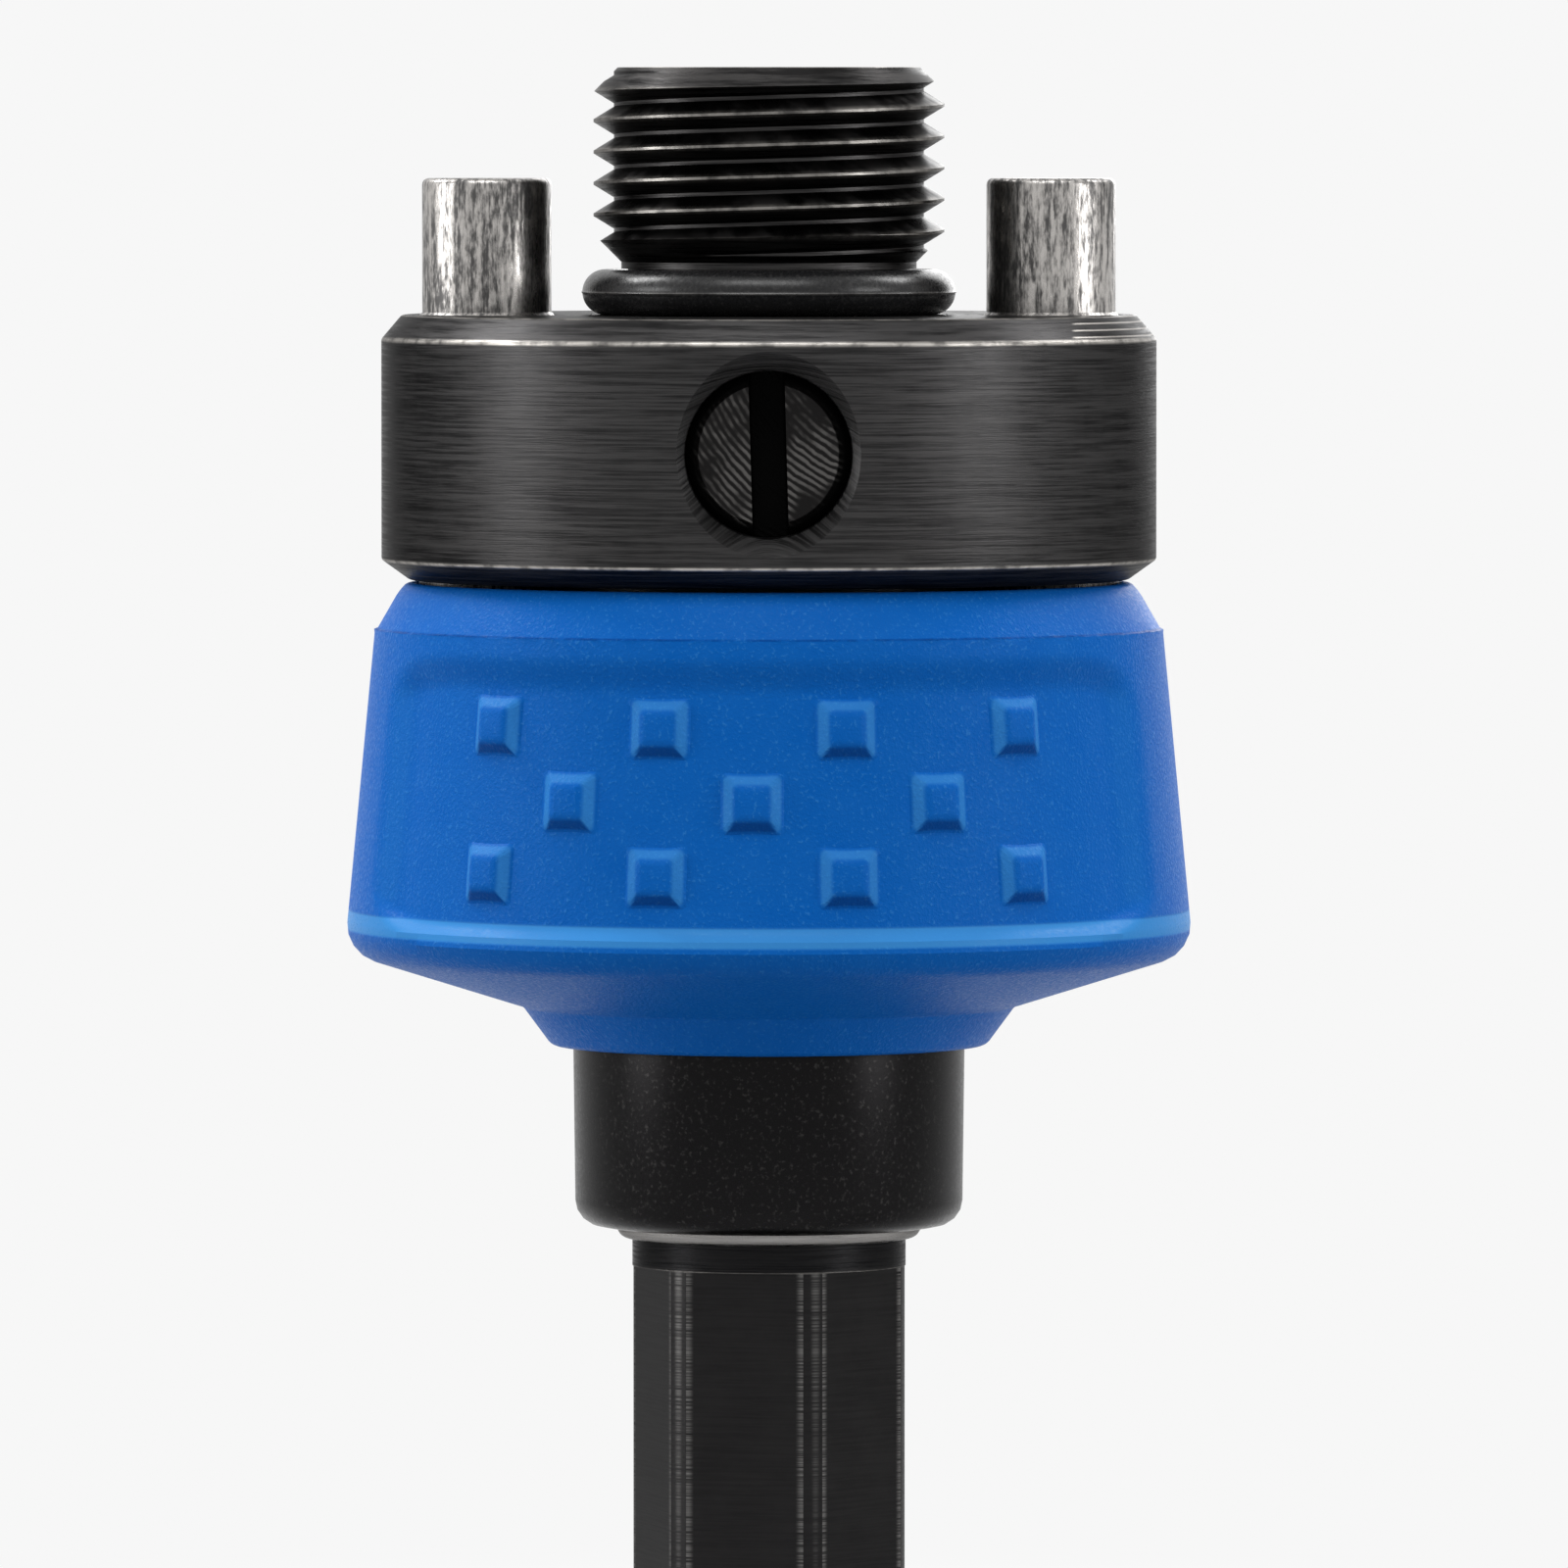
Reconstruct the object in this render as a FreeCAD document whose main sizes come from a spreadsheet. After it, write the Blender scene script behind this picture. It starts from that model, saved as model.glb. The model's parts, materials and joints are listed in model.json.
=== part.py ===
import FreeCAD, Part
import os
import Sketcher
from FreeCAD import Vector

# Hole saw arbor with a hex shank and spring-loaded drive pins, in millimetres and degrees.
# +Z runs along the spindle from the shank's end to the threaded nose, and the origin is the
# centre of the shank's end. The set screw faces -Y and the two drive pins stand at -X and +X.

doc = FreeCAD.newDocument("hole_saw_arbor")
sheet = doc.addObject("Spreadsheet::Sheet", "Sizes")

driving_sizes = [
    # Running and fixed fits
    ("fixed_fit", 0.03, "radial gap of pieces that stay together"),
    ("sliding_fit", 0.10, "radial gap of pieces that slide"),
    # Shank
    ("hex_across_flats", 11.1, "hexagon of the shank"),
    ("corner_rise", 0.62, "turned corners of the hexagon beyond its flats"),
    ("shank_length", 32.5, "shank's end to the guide sleeve's foot"),
    ("shank_end_chamfer", 0.9, "lead-in at the shank's end"),
    ("flats_runout", 1.8, "round stretch between the flats and the sleeve"),
    ("hex_turn", 11.3, "turn of the hexagon about the axis"),
    # Pilot bore
    ("pilot_radius", 3.2, "bore for the pilot shank"),
    ("pilot_depth", 42.0, "straight depth of that bore"),
    ("pilot_chamfer", 0.5, "chamfer at its mouth"),
    ("drill_point_angle", 118.0, "cone at its bottom"),
    # Guide sleeve and its retaining ring
    ("sleeve_length", 10.1, "foot to spring seat"),
    ("sleeve_margin", 0.2, "spring seat outside the spring"),
    ("sleeve_taper", 0.13, "outside radius lost from the seat to the foot"),
    ("sleeve_foot_round", 1.2, "rounding of the foot"),
    ("sleeve_ledge", 2.6, "thickness of the ledge under the spindle's neck"),
    ("ring_wire", 1.0, "wire of the retaining ring"),
    ("ring_groove_depth", 0.32, "depth of its groove in the shank"),
    ("ring_recess", 0.45, "how far the ring sits up inside the foot"),
    ("ring_gap_angle", 26.0, "open gap of the ring, at the back"),
    # Neck, shoulder and spring
    ("neck_step", 1.03, "neck inside the spring, beyond the shank"),
    ("shoulder_height", 1.35, "thickness of the shoulder that carries the drive plate"),
    ("spring_wire", 1.2, "wire of the return spring"),
    ("spring_gap", 0.25, "radial gap between the spring and the neck"),
    ("spring_length", 15.3, "fitted length, pins out"),
    ("spring_turns", 5.5, "turns of wire"),
    # Drive plate
    ("plate_wall", 1.68, "outside the pins"),
    ("plate_thickness", 11.9, "thickness"),
    ("plate_top_chamfer", 0.92, "radial part of the upper chamfer"),
    ("plate_top_drop", 1.08, "axial part of the upper chamfer"),
    ("plate_foot_chamfer", 1.25, "radial part of the lower chamfer"),
    ("plate_foot_rise", 0.9, "axial part of the lower chamfer"),
    ("seat_step", 0.9, "shoulder outside the round part of the plate's seat"),
    ("seat_flat_depth", 0.7, "depth of the two flats of the seat"),
    # Nose
    ("nose_length", 8.75, "thread, chamfers included"),
    ("crest_radius", 7.9, "thread crests"),
    ("thread_pitch", 1.411, "18 threads per inch"),
    ("thread_depth", 0.92, "crest to root"),
    ("thread_root_flat", 0.16, "width of the root"),
    ("thread_crest_flat", 0.12, "width of the crest"),
    ("nose_end_drop", 0.18, "flat end of the nose inside the roots"),
    ("relief_depth", 0.33, "run-out under the thread, below the roots"),
    ("relief_length", 0.3, "length of that run-out"),
    ("o_ring_section", 2.05, "rubber ring's section"),
    ("gland_depth", 0.3, "rubber ring's seat below the run-out"),
    # Drive pins and their carrier
    ("pin_radius", 2.91, "free end of a drive pin"),
    ("pin_relief", 0.16, "radial step from the guided part to the free end"),
    ("pin_relief_rise", 0.12, "that step above the drive plate, pins out"),
    ("pin_spacing", 25.4, "centre to centre"),
    ("pin_protrusion", 6.15, "above the drive plate, pins out"),
    ("pin_chamfer", 0.35, "at the pin's end"),
    ("spigot_radius", 2.0, "pin's foot, pressed into the carrier"),
    ("carrier_margin", 0.01, "carrier's edge outside the pins"),
    ("carrier_thickness", 2.4, "steel disc that carries the pins"),
    ("carrier_running_gap", 0.2, "radial gap round the spindle's neck"),
    ("screw_radius", 1.2, "carrier screw's thread"),
    ("screw_head_radius", 2.2, "countersunk head"),
    ("screw_length", 7.0, "head included"),
    ("screw_socket", 1.5, "across the flats of the hexagon socket"),
    ("screw_socket_depth", 0.8, "depth of the socket"),
    # Set screw of the pilot shank
    ("set_screw_radius", 3.65, "screw"),
    ("set_screw_clearance", 0.8, "tip backed off from the pilot bore"),
    ("set_screw_sunk", 1.05, "face below the plate's rim"),
    ("set_screw_chamfer", 0.55, "edge of the face and of the tip"),
    ("set_screw_turn", 1.6, "lean of the slot"),
    ("slot_width", 1.6, "driver slot"),
    ("slot_depth", 1.5, "driver slot"),
    ("countersink_width", 0.87, "mouth of the screw hole at the plate's rim, beyond the hole"),
    # Grip collar, heights from its lower lip
    ("collar_gap", 0.15, "collar's rim to the drive plate, pins out"),
    ("collar_turn", -2.3, "turn about the axis"),
    ("lip_overlap", 1.96, "lip below the spring's foot, pins out"),
    ("lip_wall", 0.85, "wall of the lip"),
    ("lip_height", 3.4, "length that slides on the sleeve"),
    ("neck_ring_flare", 1.3, "lip to the line where the shallow cone starts"),
    ("neck_ring_height", 1.76, "height of that line"),
    ("skirt_flare", 1.38, "parting step to the widest line, before rounding"),
    ("skirt_height", 4.26, "height of the widest line"),
    ("skirt_round", 1.45, "rounding of that line"),
    ("step_width", 0.13, "width of the parting step"),
    ("rim_wall", 0.49, "wall of the rim"),
    ("rim_slope", 1.45, "rim to the parting step"),
    ("rim_height", 2.1, "height of the rim above the parting step"),
    ("rim_round", 0.9, "rounding of the rim"),
    ("spring_chamber_gap", 0.75, "radial room round the spring"),
    ("panel_foot_margin", 1.74, "widest line to the grip panels"),
    ("panel_top_margin", 0.86, "grip panels to the parting step"),
    ("panel_depth", 0.48, "recess of the grip panels"),
    ("panel_sill", 0.25, "rise of the lower edge"),
    ("panel_brow", 0.5, "fall of the upper edge"),
    ("panel_angle", 132.0, "sweep of each panel"),
    ("panel_fade", 10.0, "sweep of the slope at each end of a panel"),
    ("dot_base", 2.5, "grip pyramid's foot"),
    ("dot_top", 1.4, "grip pyramid's top"),
    ("dot_height", 0.5, "grip pyramid's height"),
    ("dot_sink", 0.25, "depth of its root in the wall"),
    ("dot_step", 27.0, "pitch about the axis"),
    ("dot_row_pitch", 3.27, "pitch of the rows"),
    ("dot_row_drop", 0.33, "middle row below the panel's middle"),
    ("hub_wall", 1.8, "wall round the spring"),
    ("carrier_ledge", 0.86, "width of the ledge under the carrier's edge"),
    ("core_floor", 6.4, "height of its floor"),
    ("rib_width", 1.6, "ribs across the cored ring"),
    ("rib_root", 0.3, "how far a rib runs into the walls"),
    ("boss_radius", 2.5, "screw bosses"),
    ("boss_hole_spare", 1.6, "screw holes in the bosses, past the screws"),
]

for row, (alias, size, note) in enumerate(driving_sizes, start=1):
    sheet.set(f"A{row}", alias)
    sheet.set(f"B{row}", str(size))
    sheet.set(f"C{row}", note)
    sheet.setAlias(f"B{row}", alias)
doc.recompute()


def value(expression):
    return float(sheet.evalExpression(expression))


# Heights along the spindle, from the shank's end
sleeve_foot = "Sizes.shank_length"
flats_top = "(Sizes.shank_length - Sizes.flats_runout)"
ring_level = f"({sleeve_foot} + Sizes.ring_recess - Sizes.ring_wire / 2)"
ledge_level = f"({sleeve_foot} + Sizes.sleeve_ledge)"
spring_foot = f"({sleeve_foot} + Sizes.sleeve_length)"
carrier_foot = f"({spring_foot} + Sizes.spring_length)"
shoulder_foot = f"({carrier_foot} + Sizes.carrier_thickness)"
plate_foot = f"({shoulder_foot} + Sizes.shoulder_height)"
plate_top = f"({plate_foot} + Sizes.plate_thickness)"
relief_foot = f"({plate_top} + Sizes.o_ring_section + Sizes.fixed_fit)"
thread_foot = f"({relief_foot} + Sizes.relief_length)"
nose_top = f"({thread_foot} + Sizes.nose_length)"
pin_top = f"({plate_top} + Sizes.pin_protrusion)"
collar_rim = f"({plate_foot} - Sizes.collar_gap)"
collar_lip = f"({spring_foot} - Sizes.lip_overlap)"
set_screw_level = f"({plate_foot} + Sizes.plate_thickness / 2)"

# Radii that follow from what fits in what
shank_radius = "(Sizes.hex_across_flats / 2 + Sizes.corner_rise)"
ring_radius = f"({shank_radius} - Sizes.ring_groove_depth + Sizes.ring_wire / 2)"
neck_radius = f"({shank_radius} + Sizes.neck_step)"
spring_radius = f"({neck_radius} + Sizes.spring_gap + Sizes.spring_wire / 2)"
spring_reach = f"({spring_radius} + Sizes.spring_wire / 2)"
chamber_radius = f"({spring_reach} + Sizes.spring_chamber_gap)"
sleeve_top_radius = f"({spring_reach} + Sizes.sleeve_margin)"
sleeve_foot_radius = f"({sleeve_top_radius} - Sizes.sleeve_taper)"
root_radius = "(Sizes.crest_radius - Sizes.thread_depth)"
relief_radius = f"({root_radius} - Sizes.relief_depth)"
nose_end_radius = f"({root_radius} - Sizes.nose_end_drop)"
gland_radius = f"({relief_radius} - Sizes.gland_depth)"
o_ring_radius = f"({gland_radius} + Sizes.o_ring_section / 2)"
pin_orbit = "(Sizes.pin_spacing / 2)"
guided_radius = "(Sizes.pin_radius + Sizes.pin_relief)"
pin_reach = f"({pin_orbit} + {guided_radius})"
plate_radius = f"({pin_reach} + Sizes.plate_wall)"
shoulder_radius = f"({pin_orbit} - {guided_radius} - Sizes.fixed_fit)"
seat_radius = f"({shoulder_radius} - Sizes.seat_step)"
seat_flat = f"({seat_radius} - Sizes.seat_flat_depth)"
screw_hole_radius = "(Sizes.set_screw_radius + Sizes.fixed_fit)"
countersink_radius = f"({screw_hole_radius} + Sizes.countersink_width)"
set_screw_face = f"({plate_radius} - Sizes.set_screw_sunk)"
set_screw_tip = "(Sizes.pilot_radius + Sizes.set_screw_clearance)"
set_screw_length = f"({set_screw_face} - {set_screw_tip})"
carrier_radius = f"({pin_reach} + Sizes.carrier_margin)"
cavity_radius = f"({carrier_radius} + Sizes.fixed_fit)"


def negative(expression):
    return f"(0 - {expression})"


def placed(x, y, z, turn_axis="0; 0; 1", turn="0"):
    rotation = f"create(<<rotation>>; create(<<vector>>; {turn_axis}); {turn})"
    return f"create(<<placement>>; create(<<vector>>; {x}; {y}; {z}); {rotation})"


def bind(thing, **properties):
    for name, expression in properties.items():
        thing.setExpression(name, expression)


def new_body(name):
    body = doc.addObject("PartDesign::Body", name)
    body.Label = name
    return body


def origin_part(body, role):
    return next(part for part in body.Origin.OriginFeatures if part.Role == role)


def new_sketch(body, name, plane, flipped=False, raised=None, turned=None, turn_axis=(0, 0, 1)):
    sketch = body.newObject("Sketcher::SketchObject", name)
    sketch.AttachmentSupport = [(origin_part(body, plane), "")]
    sketch.MapMode = "FlatFace"
    sketch.MapReversed = flipped
    if raised:
        sketch.setExpression("AttachmentOffset.Base.z", raised)
    if turned:
        rotation = FreeCAD.Rotation(Vector(*turn_axis), value(turned))
        sketch.AttachmentOffset = FreeCAD.Placement(Vector(), rotation)
        sketch.setExpression("AttachmentOffset.Rotation.Angle", turned)
    return sketch


def dimension(sketch, kind, *where_and_expression):
    *where, expression = where_and_expression
    index = sketch.addConstraint(Sketcher.Constraint(kind, *where, value(expression)))
    sketch.setExpression(f"Constraints[{index}]", expression)


def pin_point(sketch, edge, end, across, up):
    # Each coordinate is measured from the sketch's origin, or lies on an axis where it is 0.
    for kind, axis, expression in (("DistanceX", -2, across), ("DistanceY", -1, up)):
        if expression == "0":
            sketch.addConstraint(Sketcher.Constraint("PointOnObject", edge, end, axis))
        else:
            dimension(sketch, kind, -1, 1, edge, end, expression)


def draw_outline(sketch, corners):
    spots = [Vector(value(across), value(up), 0) for across, up in corners]
    count = len(corners)
    first = sketch.GeometryCount
    for index in range(count):
        sketch.addGeometry(Part.LineSegment(spots[index], spots[(index + 1) % count]))
    for index in range(count):
        following = first + (index + 1) % count
        sketch.addConstraint(Sketcher.Constraint("Coincident", first + index, 2, following, 1))
    for index, (across, up) in enumerate(corners):
        pin_point(sketch, first + index, 1, across, up)


def draw_circle(sketch, across, up, radius):
    centre = Vector(value(across), value(up), 0)
    circle = sketch.addGeometry(Part.Circle(centre, Vector(0, 0, 1), value(radius)))
    pin_point(sketch, circle, 3, across, up)
    dimension(sketch, "Radius", circle, radius)


def draw_level_axis(sketch, up):
    start = Vector(0, value(up), 0)
    line = sketch.addGeometry(Part.LineSegment(start, start + Vector(1, 0, 0)), True)
    sketch.addConstraint(Sketcher.Constraint("Horizontal", line))
    pin_point(sketch, line, 1, "0", up)
    dimension(sketch, "DistanceX", line, 1, line, 2, "1")


def turned(body, name, sketch, kind="Revolution", axis="V_Axis", angle="360", both_ways=False):
    feature = body.newObject(f"PartDesign::{kind}", name)
    feature.Profile = sketch
    feature.ReferenceAxis = (sketch, [axis])
    feature.Midplane = both_ways
    feature.setExpression("Angle", angle)
    doc.recompute()
    return feature


def cut_out(body, name, sketch, length=None, outwards=False, both_ways=False):
    feature = body.newObject("PartDesign::Pocket", name)
    feature.Profile = sketch
    feature.Reversed = outwards
    feature.Midplane = both_ways
    if length:
        feature.setExpression("Length", length)
    else:
        feature.Type = "ThroughAll"
    doc.recompute()
    return feature


def raised_pad(body, name, sketch, length):
    feature = body.newObject("PartDesign::Pad", name)
    feature.Profile = sketch
    feature.setExpression("Length", length)
    doc.recompute()
    return feature


def around_axis(body, name, features, count):
    pattern = body.newObject("PartDesign::PolarPattern", name)
    pattern.Originals = features
    pattern.Axis = (origin_part(body, "Z_Axis"), [""])
    pattern.Angle = 360
    pattern.Occurrences = count
    body.Tip = pattern
    doc.recompute()
    return pattern


def matching_edges(feature, matches):
    edges = feature.Shape.Edges
    return [f"Edge{index}" for index, edge in enumerate(edges, start=1) if matches(edge)]


def is_ring(radius, level):
    # True for a circle about the Z axis with this radius and height
    def matches(edge):
        curve = edge.Curve
        return (curve.TypeId == "Part::GeomCircle" and abs(curve.Radius - value(radius)) < 1e-3
                and abs(curve.Center.z - value(level)) < 1e-3)
    return matches


def rounded(body, name, base, edges, radius):
    feature = body.newObject("PartDesign::Fillet", name)
    feature.Base = (base, edges)
    feature.setExpression("Radius", radius)
    doc.recompute()
    return feature


# Spindle: shank, neck, shoulder, plate seat and threaded nose turned from one bar

def make_spindle():
    body = new_body("spindle")

    profile = new_sketch(body, "spindle_profile", "XZ_Plane")
    draw_outline(profile, [
        ("0", "0"),
        (f"{shank_radius} - Sizes.shank_end_chamfer", "0"),
        (shank_radius, "Sizes.shank_end_chamfer"),
        (shank_radius, ledge_level),
        (neck_radius, ledge_level),
        (neck_radius, shoulder_foot),
        (shoulder_radius, shoulder_foot),
        (shoulder_radius, plate_foot),
        (seat_radius, plate_foot),
        (seat_radius, plate_top),
        (gland_radius, plate_top),
        (gland_radius, relief_foot),
        (relief_radius, relief_foot),
        (relief_radius, thread_foot),
        ("Sizes.crest_radius", f"{thread_foot} + Sizes.crest_radius - {relief_radius}"),
        ("Sizes.crest_radius", f"{nose_top} - (Sizes.crest_radius - {nose_end_radius})"),
        (nose_end_radius, nose_top),
        ("0", nose_top)])
    turned(body, "spindle_turned", profile)

    groove = new_sketch(body, "ring_groove_section", "XZ_Plane")
    draw_circle(groove, ring_radius, ring_level, "Sizes.ring_wire / 2")
    turned(body, "ring_groove", groove, kind="Groove")

    flat = new_sketch(body, "hex_flat_outline", "XY_Plane", turned="0 - Sizes.hex_turn")
    apothem, reach = "Sizes.hex_across_flats / 2", shank_radius
    draw_outline(flat, [(negative(reach), apothem), (reach, apothem), (reach, reach), (negative(reach), reach)])
    hex_flat = cut_out(body, "hex_flat", flat, length=flats_top, outwards=True)
    around_axis(body, "hex_flats", [hex_flat], 6)

    seat = new_sketch(body, "seat_flat_outline", "YZ_Plane", raised=seat_flat)
    draw_outline(seat, [(negative(seat_radius), plate_foot), (seat_radius, plate_foot),
                        (seat_radius, plate_top), (negative(seat_radius), plate_top)])
    one_flat = cut_out(body, "seat_flat", seat, outwards=True)
    around_axis(body, "seat_flats", [one_flat], 2)

    bore = new_sketch(body, "pilot_bore_profile", "XZ_Plane")
    bore_floor = f"({nose_top} - Sizes.pilot_depth)"
    cone = "(Sizes.pilot_radius / tan(Sizes.drill_point_angle / 2))"
    draw_outline(bore, [
        ("0", f"{bore_floor} - {cone}"),
        ("Sizes.pilot_radius", bore_floor),
        ("Sizes.pilot_radius", f"{nose_top} - Sizes.pilot_chamfer"),
        ("Sizes.pilot_radius + Sizes.pilot_chamfer", nose_top),
        ("0", nose_top)])
    turned(body, "pilot_bore", bore, kind="Groove")

    screw_hole = new_sketch(body, "set_screw_hole_outline", "XZ_Plane")
    draw_circle(screw_hole, "0", set_screw_level, screw_hole_radius)
    cut_out(body, "set_screw_hole", screw_hole, outwards=True)

    # One turn is started below the chamfer and the last runs out above the nose.
    vee = new_sketch(body, "thread_form", "XZ_Plane")
    middle = f"({thread_foot} - Sizes.thread_pitch / 2)"
    half_root = "Sizes.thread_root_flat / 2"
    half_mouth = "(Sizes.thread_pitch - Sizes.thread_crest_flat) / 2"
    draw_outline(vee, [
        (root_radius, f"{middle} - {half_root}"),
        (root_radius, f"{middle} + {half_root}"),
        ("Sizes.crest_radius", f"{middle} + {half_mouth}"),
        ("Sizes.crest_radius", f"{middle} - {half_mouth}")])
    thread = body.newObject("PartDesign::SubtractiveHelix", "nose_thread")
    thread.Profile = vee
    thread.ReferenceAxis = (vee, ["V_Axis"])
    thread.Mode = 0
    thread.setExpression("Pitch", "Sizes.thread_pitch")
    thread.setExpression("Height", "Sizes.nose_length + 1.5 * Sizes.thread_pitch")
    doc.recompute()
    return body


# Drive plate: thick steel disc on the spindle's double-D seat, with the pins' guide holes

def make_drive_plate():
    body = new_body("drive_plate")

    profile = new_sketch(body, "plate_profile", "XZ_Plane")
    draw_outline(profile, [
        ("0", plate_foot),
        (f"{plate_radius} - Sizes.plate_foot_chamfer", plate_foot),
        (plate_radius, f"{plate_foot} + Sizes.plate_foot_rise"),
        (plate_radius, f"{plate_top} - Sizes.plate_top_drop"),
        (f"{plate_radius} - Sizes.plate_top_chamfer", plate_top),
        ("0", plate_top)])
    turned(body, "plate_turned", profile)

    bore = new_sketch(body, "double_d_outline", "XY_Plane", raised=plate_foot)
    draw_double_d(bore, f"{seat_radius} + Sizes.fixed_fit", f"({seat_flat} + Sizes.fixed_fit)")
    cut_out(body, "double_d_bore", bore, outwards=True)

    hole = new_sketch(body, "pin_hole_outline", "XY_Plane", raised=plate_foot)
    draw_circle(hole, pin_orbit, "0", f"{guided_radius} + Sizes.sliding_fit")
    pin_hole = cut_out(body, "pin_hole", hole, outwards=True)
    around_axis(body, "pin_holes", [pin_hole], 2)

    # The countersink has a square cone angle and meets the rim at its stated radius.
    screw = new_sketch(body, "set_screw_hole_profile", "YZ_Plane", flipped=True)
    draw_outline(screw, [
        ("0", set_screw_level),
        (f"{plate_radius} + 1", set_screw_level),
        (f"{plate_radius} + 1", f"{set_screw_level} + {countersink_radius} + 1"),
        (f"{plate_radius} - Sizes.countersink_width", f"{set_screw_level} + {screw_hole_radius}"),
        ("0", f"{set_screw_level} + {screw_hole_radius}")])
    draw_level_axis(screw, set_screw_level)
    turned(body, "set_screw_hole", screw, kind="Groove", axis="Axis0")
    return body


def draw_double_d(sketch, radius, flat):
    # Two arcs about the origin joined by two upright lines
    size, half = value(radius), value(flat)
    rise = (size ** 2 - half ** 2) ** 0.5
    corners = [Vector(half, -rise, 0), Vector(half, rise, 0), Vector(-half, rise, 0), Vector(-half, -rise, 0)]
    right = sketch.addGeometry(Part.LineSegment(corners[0], corners[1]))
    top = sketch.addGeometry(Part.Arc(corners[1], Vector(0, size, 0), corners[2]))
    left = sketch.addGeometry(Part.LineSegment(corners[2], corners[3]))
    foot = sketch.addGeometry(Part.Arc(corners[3], Vector(0, -size, 0), corners[0]))
    for joint in ((right, 2, top, 1), (top, 2, left, 1), (left, 2, foot, 1), (foot, 2, right, 1)):
        sketch.addConstraint(Sketcher.Constraint("Coincident", *joint))
    for line in (right, left):
        sketch.addConstraint(Sketcher.Constraint("Vertical", line))
    for arc in (top, foot):
        sketch.addConstraint(Sketcher.Constraint("Coincident", arc, 3, -1, 1))
        dimension(sketch, "Radius", arc, radius)
    dimension(sketch, "DistanceX", -1, 1, right, 1, flat)
    dimension(sketch, "DistanceX", left, 1, -1, 1, flat)


# Rubber ring under the thread

def make_nose_o_ring():
    ring = doc.addObject("Part::Torus", "nose_o_ring")
    bind(ring, Radius1=o_ring_radius, Radius2="Sizes.o_ring_section / 2",
         Placement=placed("0", "0", f"{plate_top} + Sizes.o_ring_section / 2"))
    return ring


# Drive pins: each stands on the carrier on a pressed-in spigot, and its free end is a little
# thinner than the part that the drive plate guides

def make_drive_pin(name, side):
    body = new_body(name)
    profile = new_sketch(body, f"{name}_profile", "XZ_Plane")
    height = f"({pin_top} - {carrier_foot})"
    relief = f"({plate_top} + Sizes.pin_relief_rise - {carrier_foot})"
    draw_outline(profile, [
        ("0", "0"),
        ("Sizes.spigot_radius", "0"),
        ("Sizes.spigot_radius", "Sizes.carrier_thickness"),
        (guided_radius, "Sizes.carrier_thickness"),
        (guided_radius, f"{relief} - Sizes.pin_relief"),
        ("Sizes.pin_radius", relief),
        ("Sizes.pin_radius", f"{height} - Sizes.pin_chamfer"),
        ("Sizes.pin_radius - Sizes.pin_chamfer", height),
        ("0", height)])
    turned(body, f"{name}_turned", profile)
    bind(body, Placement=placed(f"{side} * {pin_orbit}", "0", carrier_foot))
    return body


# Pin carrier: steel disc inside the collar's rim, pressed up against the spindle's shoulder

def make_pin_carrier():
    body = new_body("pin_carrier")
    profile = new_sketch(body, "carrier_profile", "XZ_Plane")
    bore = f"({neck_radius} + Sizes.carrier_running_gap)"
    draw_outline(profile, [
        (bore, carrier_foot), (carrier_radius, carrier_foot),
        (carrier_radius, shoulder_foot), (bore, shoulder_foot)])
    turned(body, "carrier_turned", profile)

    hole = new_sketch(body, "spigot_hole_outline", "XY_Plane", raised=carrier_foot)
    draw_circle(hole, pin_orbit, "0", "Sizes.spigot_radius + Sizes.fixed_fit")
    spigot_hole = cut_out(body, "spigot_hole", hole, outwards=True)
    around_axis(body, "spigot_holes", [spigot_hole], 2)

    screw_hole = body.newObject("PartDesign::SubtractiveCylinder", "screw_hole")
    bind(screw_hole, Radius="Sizes.screw_radius + Sizes.fixed_fit", Height="Sizes.carrier_thickness",
         Placement=carrier_screw_place(45, carrier_foot))
    countersink = body.newObject("PartDesign::SubtractiveCone", "screw_countersink")
    depth = "(Sizes.screw_head_radius - Sizes.screw_radius)"
    bind(countersink, Radius1="Sizes.screw_radius + Sizes.fixed_fit",
         Radius2="Sizes.screw_head_radius + Sizes.fixed_fit", Height=depth,
         Placement=carrier_screw_place(45, f"{shoulder_foot} - {depth}"))
    doc.recompute()
    around_axis(body, "screw_holes", [screw_hole, countersink], 4)
    return body


def carrier_screw_place(angle, level):
    return placed(f"{pin_orbit} * cos({angle})", f"{pin_orbit} * sin({angle})", level)


# Countersunk socket screws from the carrier into the collar's bosses

def make_carrier_screw(name, angle):
    body = new_body(name)
    profile = new_sketch(body, f"{name}_profile", "XZ_Plane")
    head = "(Sizes.screw_head_radius - Sizes.screw_radius)"
    draw_outline(profile, [
        ("0", "0"),
        ("Sizes.screw_radius - 0.3", "0"),
        ("Sizes.screw_radius", "0.3"),
        ("Sizes.screw_radius", f"Sizes.screw_length - {head}"),
        ("Sizes.screw_head_radius", "Sizes.screw_length"),
        ("0", "Sizes.screw_length")])
    turned(body, f"{name}_turned", profile)
    socket = body.newObject("PartDesign::SubtractivePrism", f"{name}_socket")
    socket.Polygon = 6
    bind(socket, Circumradius="Sizes.screw_socket / sqrt(3)", Height="Sizes.screw_socket_depth",
         Placement=placed("0", "0", "Sizes.screw_length - Sizes.screw_socket_depth"))
    doc.recompute()
    bind(body, Placement=carrier_screw_place(angle, f"{shoulder_foot} - Sizes.screw_length"))
    return body


# Grip collar: one cored moulding that is pulled down to draw the pins in

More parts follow.
